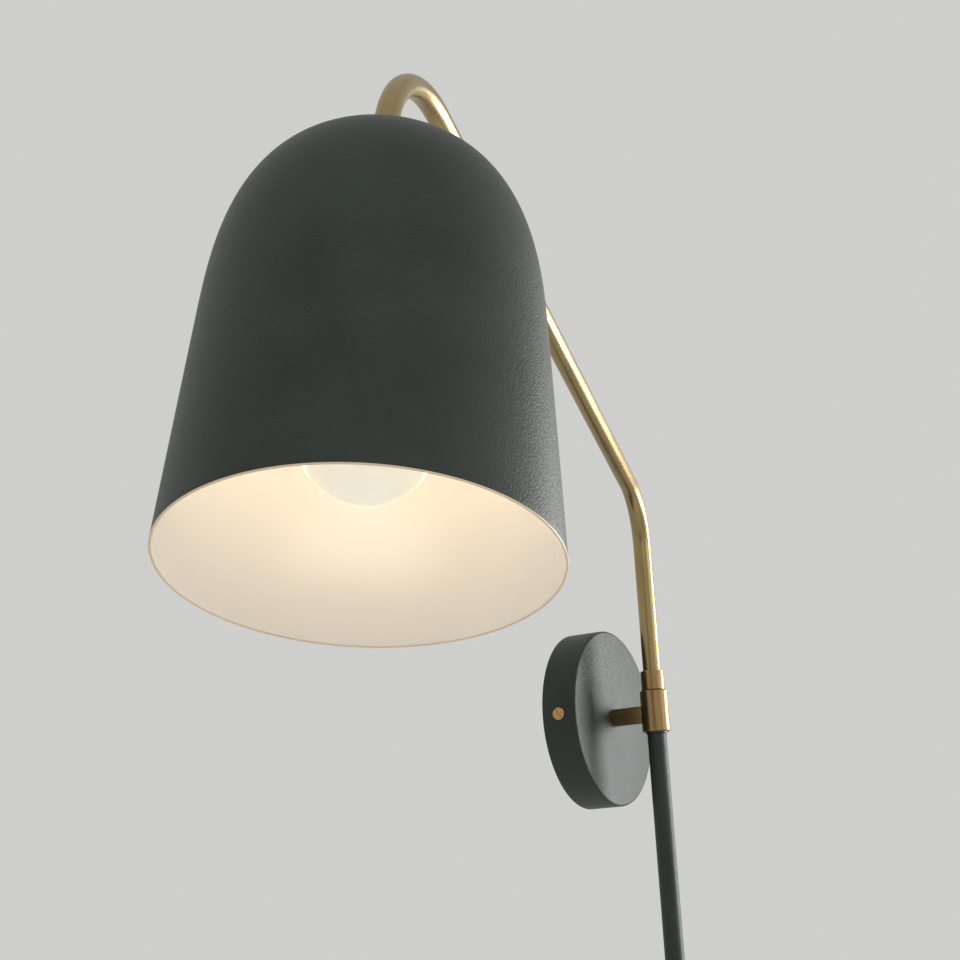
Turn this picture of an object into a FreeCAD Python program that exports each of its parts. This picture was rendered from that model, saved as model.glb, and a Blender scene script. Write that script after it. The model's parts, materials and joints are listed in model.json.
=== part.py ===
"""Gooseneck wall sconce: a round canopy, a swivel tee, a bent tube arm and a spun bell shade.

All sizes are in millimetres. The wall is the plane y = 0, the origin is the centre of the wall
bracket's back face, -Y points out of the wall into the room and +Z is up. The arm turns about a
vertical axis through the tee. Arm pieces are modelled with the arm straight out from the wall and
then turned to the rest position. Shade pieces are modelled along +Z from the top of the shade,
then tilted and carried to the end of the arm.
"""
import FreeCAD, Part
import math
import os

V = FreeCAD.Vector
X, Y, Z = V(1, 0, 0), V(0, 1, 0), V(0, 0, 1)

# ---- clearances ----------------------------------------------------------------------------
RUNNING = 0.04          # radial clearance of the swivel in its bushes
FIT = 0.05              # radial clearance of fixed pieces, threads included
GAP = 0.3               # free clearance between pieces that must not touch

# ---- canopy and wall bracket ---------------------------------------------------------------
CANOPY_RADIUS = 60.0
CANOPY_DEPTH = 24.5
CANOPY_WALL = 1.2
CANOPY_EDGE_RADIUS = 2.0
BRACKET_THICKNESS = 2.0
BRACKET_WIDTH = 28.0
EAR_WIDTH = 14.0
EAR_EDGE = 5.0          # metal left outside the ear's screw hole
SLOT_SPACING = 80.0
SLOT_WIDTH = 5.0
SLOT_LENGTH = 14.0
CABLE_HOLE_RADIUS = 10.0
SIDE_SCREW_RADIUS = 2.0
SIDE_HEAD_RADIUS = 4.1
SIDE_HEAD_HEIGHT = 1.3
SIDE_HEAD_CHAMFER = 0.4
SIDE_SCREW_LENGTH = 8.0
SLOT_CUT_WIDTH = 1.0
SLOT_CUT_DEPTH = 0.7
SLOT_CUT_ANGLE = 35.0

# ---- tee and stub --------------------------------------------------------------------------
PIVOT_OFFSET = 55.0     # swivel axis to wall
TEE_RADIUS = 9.5
TEE_ABOVE = 15.0        # tee height above the stub's centre line
TEE_BELOW = 12.5
TEE_CHAMFER = 0.4
TEE_BORE_RADIUS = 7.0
STUB_RADIUS = 6.0
STUB_SPIGOT_RADIUS = 4.5
STUB_THREAD_RADIUS = 5.0
STUB_BORE_RADIUS = 3.5
STUB_BORE_END = 1.0     # metal between the tee's bore and the stub's wide bore
NOSE_RADIUS = 3.4       # the stub's nose is the swivel's stop
NOSE_BORE_RADIUS = 2.4
NOSE_REACH = 4.6        # nose end to swivel axis
WASHER_RADIUS = 9.0
WASHER_THICKNESS = 1.2
NUT_ACROSS_FLATS = 14.0
NUT_THICKNESS = 4.0
THREAD_PAST_NUT = 3.0
BUSH_LENGTH = 8.0
BUSH_FLANGE = 0.6
TOP_FLANGE_RADIUS = 8.6
BOTTOM_FLANGE_RADIUS = 7.4

# ---- swivel spindle ------------------------------------------------------------------------
SPINDLE_RADIUS = 6.0
SPINDLE_BORE_RADIUS = 4.4
SPINDLE_BORE_BELOW = 4.5
COLLAR_RADIUS = 7.9
COLLAR_HEIGHT = 13.1
COLLAR_FLOOR = 2.0      # metal under the gooseneck's socket
COLLAR_CHAMFER = 0.3
SPIGOT_RADIUS = 4.0
SPIGOT_LENGTH = 12.0
SPRING_WASHER_RADIUS = 7.3
SPRING_WASHER_THICKNESS = 0.6
GRUB_RADIUS = 1.5
GRUB_KEY = 1.5
GRUB_KEY_FLOOR = 1.0    # metal left under the key's hole
SWING_LIMIT = 80.0      # each way from straight out
REST_SWING = -77.5      # the arm's rest position

# ---- gooseneck -----------------------------------------------------------------------------
TUBE_RADIUS = 6.0
TUBE_WALL = 1.0
LOWER_CORNER_HEIGHT = 146.0
REACH = 488.0           # swivel axis to upper corner, level
RISE_ANGLE = 15.6       # slope of the long run, and tilt of the shade
LOWER_BEND_RADIUS = 40.0
UPPER_BEND_RADIUS = 70.0
DROP = 80.0             # upper corner to the top of the shade

# ---- lower tube ----------------------------------------------------------------------------
LOWER_TUBE_RADIUS = 6.5
LOWER_TUBE_WALL = 1.0
LOWER_TUBE_BOTTOM = 260.0   # below the stub's centre line
PLUG_HEAD = 2.0
PLUG_SPIGOT = 10.0
PLUG_CHAMFER = 0.6

# ---- shade ---------------------------------------------------------------------------------
SHADE_RIM_RADIUS = 85.0
SHADE_LENGTH = 205.0
SHADE_DOME = 100.0      # depth of the domed top
SHADE_POWER = 3.0       # squareness of the dome
SHADE_FLARE = 4.6       # degrees, side wall
SHADE_WALL = 1.2
SHADE_SEAT_RADIUS = 12.0
SHADE_FIRST = 0.2       # where on the dome, from 0 to 1, its curve leaves the flat seat behind
SHADE_SPANS = 5
FERRULE_HEIGHT = 8.0
FERRULE_TOP_RADIUS = 7.6
FERRULE_RADIUS = 9.0
FERRULE_FLOOR = 2.5
NIPPLE_BORE_RADIUS = 3.5
NIPPLE_IN_TUBE = 7.0
SHADE_WASHER_RADIUS = 11.5
SPACER_RADIUS = 6.5
SPACER_LENGTH = 28.5

# ---- lampholder ----------------------------------------------------------------------------
HOLDER_RADIUS = 20.0
HOLDER_WALL = 1.8
HOLDER_NECK_RADIUS = 9.0
CAP_HEIGHT = 24.0
CAP_SHOULDER = 10.0     # height of the cap's neck and slope
HOLDER_BODY_HEIGHT = 33.0
INSULATOR_THICKNESS = 6.0
SHELL_RADIUS = 14.2
SHELL_WALL = 0.5
SHELL_HEIGHT = 26.0
CONTACT_WIDTH = 5.0
CONTACT_THICKNESS = 0.5
CONTACT_LIFT = 2.0
CONTACT_LENGTH = 14.0
TERMINAL_SCREW_RADIUS = 1.6
TERMINAL_SCREW_OFFSET = 11.0
TERMINAL_SCREW_HEIGHT = 5.0

# ---- bulb ----------------------------------------------------------------------------------
BULB_RADIUS = 30.0
BULB_LENGTH = 108.0     # tip contact to glass end
BULB_GLASS = 1.0
BULB_NECK_RADIUS = 13.6
BULB_NECK_LENGTH = 16.6  # straight neck below the cap
BULB_CAP_RADIUS = 13.0
BULB_CAP_WALL = 0.5
BULB_CAP_LENGTH = 24.0
BULB_TIP_RADIUS = 4.5
BULB_TIP_HEIGHT = 1.2
BULB_DISC_HEIGHT = 3.0
STEM_RADIUS = 5.0
STEM_ROD_RADIUS = 2.5   # thin rod between the hubs
STEM_HEIGHT = 62.0
STEM_HUB_RADIUS = 9.0
STEM_HUB_THICKNESS = 1.0
FILAMENT_RADIUS = 0.9
FILAMENT_LENGTH = 30.0
FILAMENT_COUNT = 4

# ---- wiring --------------------------------------------------------------------------------
LEAD_RADIUS = 2.1
LEAD_TURN = 4.2         # bend at the swivel
LEAD_BEND = 7.0
LEAD_SPLIT = 8.0        # height at which the arm's lead begins
LEAD_LIFT = 22.0
LEAD_BACK = 9.0         # lead to wall, inside the canopy
EARTH_RADIUS = 1.2
EARTH_BEND = 5.0
EARTH_LIFT = 12.0
EARTH_BACK = 3.3
EARTH_SCREW_X = -21.0
EARTH_SCREW_RADIUS = 2.0
EARTH_HEAD_RADIUS = 3.5
EARTH_HEAD_HEIGHT = 2.2
EARTH_WASHER_RADIUS = 4.4
EARTH_WASHER_THICKNESS = 0.8
BLOCK_X = 22.0
BLOCK_PITCH = 7.0
BLOCK_WIDTH = 20.0
BLOCK_DEPTH = 10.0
BLOCK_HEIGHT = 16.0
BLOCK_PORT_BACK = 5.0
PORT_RADIUS = 2.0
PORT_BORE_RADIUS = 1.3
BLOCK_SCREW_RADIUS = 1.2
BLOCK_HEAD_RADIUS = 2.4
BLOCK_HEAD_HEIGHT = 1.2
CLAMP_SCREW_RADIUS = 1.2
CLAMP_SCREW_HEIGHT = 4.0

# ---- derived -------------------------------------------------------------------------------
PIVOT = V(0, -PIVOT_OFFSET, 0)
CANOPY_FACE = -CANOPY_DEPTH
CANOPY_INNER_RADIUS = CANOPY_RADIUS - CANOPY_WALL
CANOPY_INSIDE = CANOPY_FACE + CANOPY_WALL
EAR_FACE = math.sqrt(CANOPY_INNER_RADIUS ** 2 - (EAR_WIDTH / 2) ** 2) - GAP
SIDE_SCREW_Y = -CANOPY_DEPTH / 2
NUT_FACE = CANOPY_INSIDE + WASHER_THICKNESS
STUB_END = NUT_FACE + NUT_THICKNESS + THREAD_PAST_NUT
COLLAR_BOTTOM = TEE_ABOVE + BUSH_FLANGE
COLLAR_TOP = COLLAR_BOTTOM + COLLAR_HEIGHT
SOCKET_FLOOR = COLLAR_BOTTOM + COLLAR_FLOOR
BUSH_BOTTOM = -TEE_BELOW - BUSH_FLANGE
LOWER_TUBE_TOP = BUSH_BOTTOM - SPRING_WASHER_THICKNESS
TUBE_BORE_RADIUS = TUBE_RADIUS - TUBE_WALL
LOWER_TUBE_BORE = LOWER_TUBE_RADIUS - LOWER_TUBE_WALL
RISE = math.radians(RISE_ANGLE)
UPPER_CORNER_HEIGHT = LOWER_CORNER_HEIGHT + REACH * math.tan(RISE)
NIPPLE_RADIUS = TUBE_BORE_RADIUS - FIT
NUT_TOP = SHADE_WALL + WASHER_THICKNESS
SPACER_TOP = NUT_TOP + NUT_THICKNESS
CAP_TOP = SPACER_TOP + SPACER_LENGTH
BODY_TOP = CAP_TOP + CAP_HEIGHT
BODY_BOTTOM = BODY_TOP + HOLDER_BODY_HEIGHT
INSULATOR_BOTTOM = BODY_TOP + INSULATOR_THICKNESS
CONTACT_FACE = INSULATOR_BOTTOM + CONTACT_LIFT
BULB_TIP = CONTACT_FACE + FIT
BULB_DISC = BULB_TIP + BULB_TIP_HEIGHT
BULB_CAP_TOP = BULB_DISC + BULB_DISC_HEIGHT
BULB_CAP_BOTTOM = BULB_CAP_TOP + BULB_CAP_LENGTH
BULB_CENTRE = BULB_TIP + BULB_LENGTH - BULB_RADIUS
HOLDER_BORE = HOLDER_RADIUS - HOLDER_WALL


# ---- shapes --------------------------------------------------------------------------------
def cylinder(radius, start, end, axis=Z, centre=V(0, 0, 0)):
    """Solid round bar along axis, between two distances from centre."""
    return Part.makeCylinder(radius, end - start, centre + axis * start, axis)


def tube(outer, inner, start, end, axis=Z, centre=V(0, 0, 0)):
    """Round bar with a bore along it."""
    return cylinder(outer, start, end, axis, centre).cut(cylinder(inner, start, end, axis, centre))


def block(low, high):
    """Box between two opposite corners."""
    return Part.makeBox(high.x - low.x, high.y - low.y, high.z - low.z, low)


def hexagon(across_flats, start, end, axis=Z, centre=V(0, 0, 0)):
    """Hexagonal prism along axis."""
    circumradius = across_flats / math.sqrt(3)
    corners = [V(circumradius * math.cos(math.radians(60 * i)),
                 circumradius * math.sin(math.radians(60 * i)), 0) for i in range(7)]
    prism = Part.Face(Part.makePolygon(corners)).extrude(V(0, 0, end - start))
    prism.Placement = FreeCAD.Placement(centre + axis * start, FreeCAD.Rotation(Z, axis))
    return prism


def turned(edges):
    """Closed outline in the x-z half plane turned about Z; pieces join end to end."""
    return Part.Face(Part.Wire(edges)).revolve(V(0, 0, 0), Z, 360)


def outline(*points):
    """Straight edges through (radius, height) points."""
    corners = [V(r, 0, z) for r, z in points]
    return [Part.LineSegment(a, b).toShape() for a, b in zip(corners, corners[1:])]


def bevelled(shape, size, heights):
    """Chamfer the circular edges that lie in the planes z = heights."""
    edges = [e for e in shape.Edges if isinstance(e.Curve, Part.Circle)
             and any(abs(e.Curve.Center.z - h) < 1e-6 for h in heights)
             and abs(abs(e.Curve.Axis.z) - 1) < 1e-6]
    widest = max(e.Curve.Radius for e in edges)
    return shape.makeChamfer(size, [e for e in edges if abs(e.Curve.Radius - widest) < 1e-6])


def slotted(screw, head_radius, face, axis, angle):
    """Cut a driver slot across a screw head whose outer face is at distance face along axis."""
    length = 2 * head_radius + 2 * SLOT_CUT_WIDTH
    cutter = block(V(-length / 2, -SLOT_CUT_WIDTH / 2, face - SLOT_CUT_DEPTH),
                   V(length / 2, SLOT_CUT_WIDTH / 2, face + SLOT_CUT_DEPTH))
    cutter.rotate(V(0, 0, 0), Z, angle)
    cutter.Placement = FreeCAD.Placement(V(0, 0, 0), FreeCAD.Rotation(Z, axis)).multiply(cutter.Placement)
    return screw.cut(cutter)


def bent_bar(points, radii, radius):
    """Round bar along straight runs joined by tangent bends; radii belong to the inner points."""
    shapes, last = [], points[0]
    for before, corner, after, bend in zip(points, points[1:], points[2:], radii):
        into, out = (corner - before).normalize(), (after - corner).normalize()
        turn = into.getAngle(out)
        back = bend * math.tan(turn / 2)
        start, end = corner - into * back, corner + out * back
        inward = (out - into).normalize()
        centre = corner + inward * (bend / math.cos(turn / 2))
        disc = Part.Face(Part.Wire(Part.makeCircle(radius, start, into)))
        shapes += [Part.makeCylinder(radius, (start - last).Length, last, into),
                   disc.revolve(centre, into.cross(out), math.degrees(turn))]
        last = end
    run = points[-1] - last
    shapes.append(Part.makeCylinder(radius, run.Length, last, run))
    return shapes[0].fuse(shapes[1:]).removeSplitter()


# ---- places --------------------------------------------------------------------------------
def on_arm(shape):
    """Turn a piece of the arm from straight out to the rest position."""
    turned_shape = shape.copy()
    turned_shape.rotate(PIVOT, Z, REST_SWING)
    return turned_shape


def arm_point(out, up):
    """Point in the arm's own plane, out from the swivel axis and up."""
    return V(0, -PIVOT_OFFSET - out, up)


def shade_top():
    """Top of the shade, where the gooseneck's centre line meets it."""
    return arm_point(REACH + DROP * math.sin(RISE), UPPER_CORNER_HEIGHT - DROP * math.cos(RISE))


def shade_axis():
    """Direction of the shade's axis, from its top to its mouth."""
    return V(0, -math.sin(RISE), -math.cos(RISE))


def on_shade(shape):
    """Carry a piece modelled down +Z from the shade's top to its tilted place on the arm."""
    tilted = shape.copy()
    tilted.rotate(V(0, 0, 0), X, 180 - RISE_ANGLE)
    tilted.translate(shade_top())
    return on_arm(tilted)


def arm_bar(start_height, past_top, radius):
    """Round bar on the arm's centre line, from a height on the swivel axis to past the shade's top."""
    points = [arm_point(0, start_height), arm_point(0, LOWER_CORNER_HEIGHT),
              arm_point(REACH, UPPER_CORNER_HEIGHT), shade_top() + shade_axis() * past_top]
    return bent_bar(points, [LOWER_BEND_RADIUS, UPPER_BEND_RADIUS], radius)


# ---- wall side -----------------------------------------------------------------------------
def wall_bracket():
    """Steel strap with two ears, slotted for the wall and open in the middle for the supply."""
    half = BRACKET_WIDTH / 2
    ear_reach = SIDE_SCREW_Y - SIDE_SCREW_RADIUS - EAR_EDGE
    shape = block(V(-EAR_FACE, -BRACKET_THICKNESS, -half), V(EAR_FACE, 0, half))
    corner_cut = half - EAR_WIDTH / 2
    for side in (-1, 1):
        inner, outer = sorted((side * (EAR_FACE - BRACKET_THICKNESS), side * EAR_FACE))
        shape = shape.fuse(block(V(inner, ear_reach, -EAR_WIDTH / 2), V(outer, 0, EAR_WIDTH / 2)))
        for end in (-1, 1):
            low, high = sorted((end * half, end * EAR_WIDTH / 2))
            near, far = sorted((side * (EAR_FACE - corner_cut), side * EAR_FACE))
            shape = shape.cut(block(V(near, -BRACKET_THICKNESS, low), V(far, 0, high)))
        shape = shape.cut(cylinder(SIDE_SCREW_RADIUS + FIT, 0, CANOPY_RADIUS, X * side, V(0, SIDE_SCREW_Y, 0)))
        centre = side * SLOT_SPACING / 2
        straight = (SLOT_LENGTH - SLOT_WIDTH) / 2
        cut = block(V(centre - straight, -BRACKET_THICKNESS, -SLOT_WIDTH / 2),
                    V(centre + straight, 0, SLOT_WIDTH / 2))
        for end in (-1, 1):
            cut = cut.fuse(cylinder(SLOT_WIDTH / 2, -BRACKET_THICKNESS, 0, Y, V(centre + end * straight, 0, 0)))
        shape = shape.cut(cut)
    shape = shape.cut(cylinder(CABLE_HOLE_RADIUS, -BRACKET_THICKNESS, 0, Y))
    shape = shape.cut(cylinder(EARTH_SCREW_RADIUS + FIT, -BRACKET_THICKNESS, 0, Y, V(EARTH_SCREW_X, 0, 0)))
    shape = shape.cut(cylinder(BLOCK_SCREW_RADIUS + FIT, -BRACKET_THICKNESS, 0, Y, block_screw_place()))
    return shape.removeSplitter()


def canopy():
    """Drawn cup with a rounded front edge, a centre hole for the stub and two side screw holes."""
    r, t, e = CANOPY_RADIUS, CANOPY_WALL, CANOPY_EDGE_RADIUS
    hole = STUB_THREAD_RADIUS + FIT
    bend = math.sin(math.radians(45))
    front = CANOPY_DEPTH
    outer_arc = Part.Arc(V(r, 0, front - e), V(r - e + e * bend, 0, front - e + e * bend), V(r - e, 0, front))
    i = e - t
    inner_arc = Part.Arc(V(r - e, 0, front - t), V(r - e + i * bend, 0, front - e + i * bend),
                         V(r - t, 0, front - e))
    edges = outline((r, 0), (r, front - e)) + [outer_arc.toShape()]
    edges += outline((r - e, front), (hole, front), (hole, front - t), (r - e, front - t))
    edges += [inner_arc.toShape()] + outline((r - t, front - e), (r - t, 0), (r, 0))
    shape = turned(edges)
    shape.rotate(V(0, 0, 0), X, 90)
    for side in (-1, 1):
        clearance = SIDE_SCREW_RADIUS + GAP
        shape = shape.cut(cylinder(clearance, 0, CANOPY_RADIUS + GAP, X * side, V(0, SIDE_SCREW_Y, 0)))
    return shape


def canopy_screws():
    """Slotted brass screws, one each side, through the canopy into the bracket's ears."""
    screws = []
    for side in (-1, 1):
        centre = V(0, SIDE_SCREW_Y, 0)
        face = CANOPY_RADIUS + SIDE_HEAD_HEIGHT
        screw = cylinder(SIDE_HEAD_RADIUS, CANOPY_RADIUS, face, X * side)
        rim = [e for e in screw.Edges if abs(abs(e.CenterOfMass.x) - face) < 1e-6 and e.Closed]
        screw = screw.makeChamfer(SIDE_HEAD_CHAMFER, rim)
        screw = screw.fuse(cylinder(SIDE_SCREW_RADIUS, face - SIDE_HEAD_HEIGHT - SIDE_SCREW_LENGTH,
                                    CANOPY_RADIUS, X * side))
        screw = slotted(screw, SIDE_HEAD_RADIUS, face, X * side, SLOT_CUT_ANGLE)
        screw.translate(centre)
        screws.append(screw)
    return Part.Compound(screws)


def stub_arm():
    """Turned brass tube from canopy to tee; its nose reaches into the spindle's window."""
    reach = PIVOT_OFFSET - CANOPY_DEPTH
    back = PIVOT_OFFSET + STUB_END
    body = cylinder(STUB_RADIUS, 0, reach, Y, PIVOT).cut(cylinder(TEE_RADIUS, -TEE_BELOW, TEE_ABOVE, Z, PIVOT))
    shape = body.fuse(cylinder(STUB_SPIGOT_RADIUS, TEE_BORE_RADIUS, reach, Y, PIVOT))
    shape = shape.fuse(cylinder(NOSE_RADIUS, NOSE_REACH, reach, Y, PIVOT))
    shape = shape.fuse(cylinder(STUB_THREAD_RADIUS, reach, back, Y, PIVOT))
    shape = shape.cut(cylinder(STUB_BORE_RADIUS, TEE_BORE_RADIUS + STUB_BORE_END, back, Y, PIVOT))
    shape = shape.cut(cylinder(NOSE_BORE_RADIUS, 0, back, Y, PIVOT))
    return shape.removeSplitter()


def tee_body():
    """Brass tee: an upright sleeve for the spindle, bored at the back for the stub."""
    shape = cylinder(TEE_RADIUS, -TEE_BELOW, TEE_ABOVE, Z, PIVOT)
    shape = bevelled(shape, TEE_CHAMFER, (-TEE_BELOW, TEE_ABOVE))
    shape = shape.cut(cylinder(TEE_BORE_RADIUS, -TEE_BELOW, TEE_ABOVE, Z, PIVOT))
    return shape.cut(cylinder(STUB_SPIGOT_RADIUS + FIT, 0, TEE_RADIUS, Y, PIVOT))


def bush(flange_radius, mouth, direction):
    """Flanged bush pressed into the tee at the height mouth."""
    def span(a, b):
        return sorted((mouth + direction * a, mouth + direction * b))
    sleeve = cylinder(TEE_BORE_RADIUS - FIT, *span(-BUSH_LENGTH, 0), Z, PIVOT)
    flange = cylinder(flange_radius, *span(0, BUSH_FLANGE), Z, PIVOT)
    return sleeve.fuse(flange).cut(cylinder(SPINDLE_RADIUS + RUNNING, *span(-BUSH_LENGTH, BUSH_FLANGE), Z, PIVOT))


def block_screw_place():
    """Foot of the screw that holds the terminal block, between two ports."""
    return V(BLOCK_X - BLOCK_PITCH / 2, 0, 0)


def port_places():
    """Middle of each of the terminal block's ports."""
    return [V(BLOCK_X + i * BLOCK_PITCH, -BLOCK_PORT_BACK, 0) for i in (-1, 0, 1)]


def terminal_block():
    """Three-way terminal block on the bracket."""
    face = -BRACKET_THICKNESS - BLOCK_DEPTH
    half = BLOCK_HEIGHT / 2
    shape = block(V(BLOCK_X - BLOCK_WIDTH / 2, face, -half), V(BLOCK_X + BLOCK_WIDTH / 2, -BRACKET_THICKNESS, half))
    for place in port_places():
        shape = shape.cut(cylinder(PORT_RADIUS + FIT, -half, half, Z, place))
        for end in (-1, 1):
            mouth = V(place.x, 0, end * CLAMP_SCREW_HEIGHT)
            shape = shape.cut(cylinder(CLAMP_SCREW_RADIUS + FIT, face, -BLOCK_PORT_BACK, Y, mouth))
    return shape.cut(cylinder(BLOCK_SCREW_RADIUS + FIT, face, -BRACKET_THICKNESS, Y, block_screw_place()))


def terminal_inserts():
    """Brass tubes in the block's ports."""
    half = BLOCK_HEIGHT / 2
    return Part.Compound([tube(PORT_RADIUS, PORT_BORE_RADIUS, -half, half, Z, p) for p in port_places()])


def terminal_screws():
    """Clamp screws of the terminal block, two to a port."""
    face = -BRACKET_THICKNESS - BLOCK_DEPTH
    tip = -BLOCK_PORT_BACK - PORT_RADIUS - FIT
    return Part.Compound([cylinder(CLAMP_SCREW_RADIUS, face, tip, Y, V(p.x, 0, end * CLAMP_SCREW_HEIGHT))
                          for p in port_places() for end in (-1, 1)])


def block_screw():
    """Screw through the terminal block into the bracket."""
    face = -BRACKET_THICKNESS - BLOCK_DEPTH
    shank = cylinder(BLOCK_SCREW_RADIUS, face, -FIT, Y, block_screw_place())
    return shank.fuse(cylinder(BLOCK_HEAD_RADIUS, face - BLOCK_HEAD_HEIGHT, face, Y, block_screw_place()))


def earth_screw():
    """Pan head screw of the earth terminal."""
    centre = V(EARTH_SCREW_X, 0, 0)
    seat = -BRACKET_THICKNESS - EARTH_WASHER_THICKNESS
    head = cylinder(EARTH_HEAD_RADIUS, seat - EARTH_HEAD_HEIGHT, seat, Y)
    screw = head.fuse(cylinder(EARTH_SCREW_RADIUS, seat, -FIT, Y))
    screw = slotted(screw, EARTH_HEAD_RADIUS, EARTH_HEAD_HEIGHT - seat, Y * -1, 0)
    screw.translate(centre)
    return screw


def earth_washer():
    """Washer under the earth screw's head."""
    seat = -BRACKET_THICKNESS - EARTH_WASHER_THICKNESS
    return tube(EARTH_WASHER_RADIUS, EARTH_SCREW_RADIUS + FIT, seat, -BRACKET_THICKNESS, Y, V(EARTH_SCREW_X, 0, 0))


def earth_wire():
    """Insulated wire from the terminal block over the cable hole to the earth screw."""
    port = port_places()[0]
    top = BLOCK_HEIGHT / 2 + EARTH_LIFT - EARTH_BEND
    points = [V(port.x, port.y, BLOCK_HEIGHT / 2 + FIT), V(port.x, port.y, top),
              V(EARTH_SCREW_X, -EARTH_BACK, top), V(EARTH_SCREW_X, -EARTH_BACK, EARTH_WASHER_RADIUS + FIT)]
    return bent_bar(points, [EARTH_BEND, EARTH_BEND], EARTH_RADIUS)


def canopy_lead():
    """Two-core lead from the terminal block through the stub, turning up onto the swivel axis."""
    port = port_places()[1]
    points = [V(port.x, port.y, BLOCK_HEIGHT / 2 + GAP), V(port.x, port.y, LEAD_LIFT), V(0, -LEAD_BACK, LEAD_LIFT),
              V(0, -LEAD_BACK, 0), PIVOT, PIVOT + Z * LEAD_SPLIT]
    return bent_bar(points, [LEAD_BEND, LEAD_BEND, LEAD_BEND, LEAD_TURN], LEAD_RADIUS)


# ---- swivel and lower tube -----------------------------------------------------------------
def spindle_window():
    """Slot round the spindle's back that the stub's nose runs in; its ends stop the swing."""
    radius = NOSE_RADIUS + GAP
    slot = tube(TEE_BORE_RADIUS, SPINDLE_BORE_RADIUS - GAP, -radius, radius, Z, PIVOT)
    start = math.radians(90 - SWING_LIMIT)
    span = 2 * SWING_LIMIT
    sector = Part.makeCylinder(TEE_BORE_RADIUS, 2 * radius, PIVOT - Z * radius, Z, span)
    sector.rotate(PIVOT, Z, math.degrees(start))
    cut = slot.common(sector)
    for limit in (-SWING_LIMIT, SWING_LIMIT):
        end = Part.makeCylinder(radius, TEE_BORE_RADIUS, PIVOT, Y)
        end.rotate(PIVOT, Z, limit)
        cut = cut.fuse(end)
    return cut


def pivot_spindle():
    """Turned spindle: collar on top, shank in the bushes, wire bore, stop window, threaded end."""
    shape = cylinder(SPINDLE_RADIUS, LOWER_TUBE_TOP, COLLAR_BOTTOM, Z, PIVOT)
    collar = bevelled(cylinder(COLLAR_RADIUS, COLLAR_BOTTOM, COLLAR_TOP, Z, PIVOT), COLLAR_CHAMFER,
                      (COLLAR_BOTTOM, COLLAR_TOP))
    shape = shape.fuse(collar)
    shape = shape.fuse(cylinder(SPIGOT_RADIUS, LOWER_TUBE_TOP - SPIGOT_LENGTH, LOWER_TUBE_TOP, Z, PIVOT))
    shape = shape.cut(cylinder(TUBE_RADIUS + FIT, SOCKET_FLOOR, COLLAR_TOP, Z, PIVOT))
    shape = shape.cut(cylinder(SPINDLE_BORE_RADIUS, -SPINDLE_BORE_BELOW, SOCKET_FLOOR, Z, PIVOT))
    shape = shape.cut(spindle_window())
    hole = cylinder(GRUB_RADIUS + FIT, 0, COLLAR_RADIUS, Y, PIVOT + Z * grub_height())
    return on_arm(shape.cut(hole))


def grub_height():
    """Height of the grub screw, half way up the collar's socket."""
    return (SOCKET_FLOOR + COLLAR_TOP) / 2


def collar_grub_screw():
    """Hexagon socket grub screw that holds the gooseneck in the collar, at the back."""
    centre = PIVOT + Z * grub_height()
    screw = cylinder(GRUB_RADIUS, TUBE_RADIUS + FIT, COLLAR_RADIUS - GAP, Y, centre)
    key = hexagon(GRUB_KEY, TUBE_RADIUS + GRUB_KEY_FLOOR, COLLAR_RADIUS, Y, centre)
    return on_arm(screw.cut(key))


def spring_washer():
    """Washer between the tee's lower bush and the lower tube; it gives the swivel its drag."""
    return on_arm(tube(SPRING_WASHER_RADIUS, SPINDLE_RADIUS + FIT, LOWER_TUBE_TOP, BUSH_BOTTOM, Z, PIVOT))


def handle_ferrule():
    """Threaded bush in the top of the lower tube, screwed onto the spindle."""
    outer = LOWER_TUBE_BORE - FIT
    return on_arm(tube(outer, SPIGOT_RADIUS + FIT, LOWER_TUBE_TOP - SPIGOT_LENGTH, LOWER_TUBE_TOP, Z, PIVOT))


def lower_tube():
    """Painted tube below the tee, the handle that swings the arm."""
    return on_arm(tube(LOWER_TUBE_RADIUS, LOWER_TUBE_BORE, -LOWER_TUBE_BOTTOM, LOWER_TUBE_TOP, Z, PIVOT))


def end_plug():
    """Plug that closes the lower tube."""
    foot = -LOWER_TUBE_BOTTOM - PLUG_HEAD
    head = cylinder(LOWER_TUBE_RADIUS, foot, -LOWER_TUBE_BOTTOM, Z, PIVOT)
    head = bevelled(head, PLUG_CHAMFER, (foot,))
    spigot = cylinder(LOWER_TUBE_BORE - FIT, -LOWER_TUBE_BOTTOM, -LOWER_TUBE_BOTTOM + PLUG_SPIGOT, Z, PIVOT)
    return on_arm(head.fuse(spigot))


def gooseneck_tube():
    """Brass tube in one plane: upright, one open bend, a long rising run, one right-angle bend."""
    skin = arm_bar(SOCKET_FLOOR, -FERRULE_FLOOR, TUBE_RADIUS)
    return on_arm(skin.cut(arm_bar(SOCKET_FLOOR, -FERRULE_FLOOR, TUBE_BORE_RADIUS)))


def arm_lead():
    """Lead from the swivel through the gooseneck and nipple to the lampholder."""
    return on_arm(arm_bar(LEAD_SPLIT, BODY_TOP - GAP, LEAD_RADIUS))


# ---- shade ---------------------------------------------------------------------------------
def shade_point(turn, wall):
    """Point of the shade's outline: a squared dome of the given power that runs into a cone.

    turn goes from 0 at the top to 1 where the dome ends; wall is the distance inside the skin.
    """
    angle = turn * math.pi / 2
    depth = SHADE_DOME - wall
    height = depth * (1 - math.cos(angle) ** (2 / SHADE_POWER))
    cone = SHADE_RIM_RADIUS - (SHADE_LENGTH - wall - height) * math.tan(math.radians(SHADE_FLARE)) - wall
    return V(cone * math.sin(angle) ** (2 / SHADE_POWER), 0, wall + height)


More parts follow.
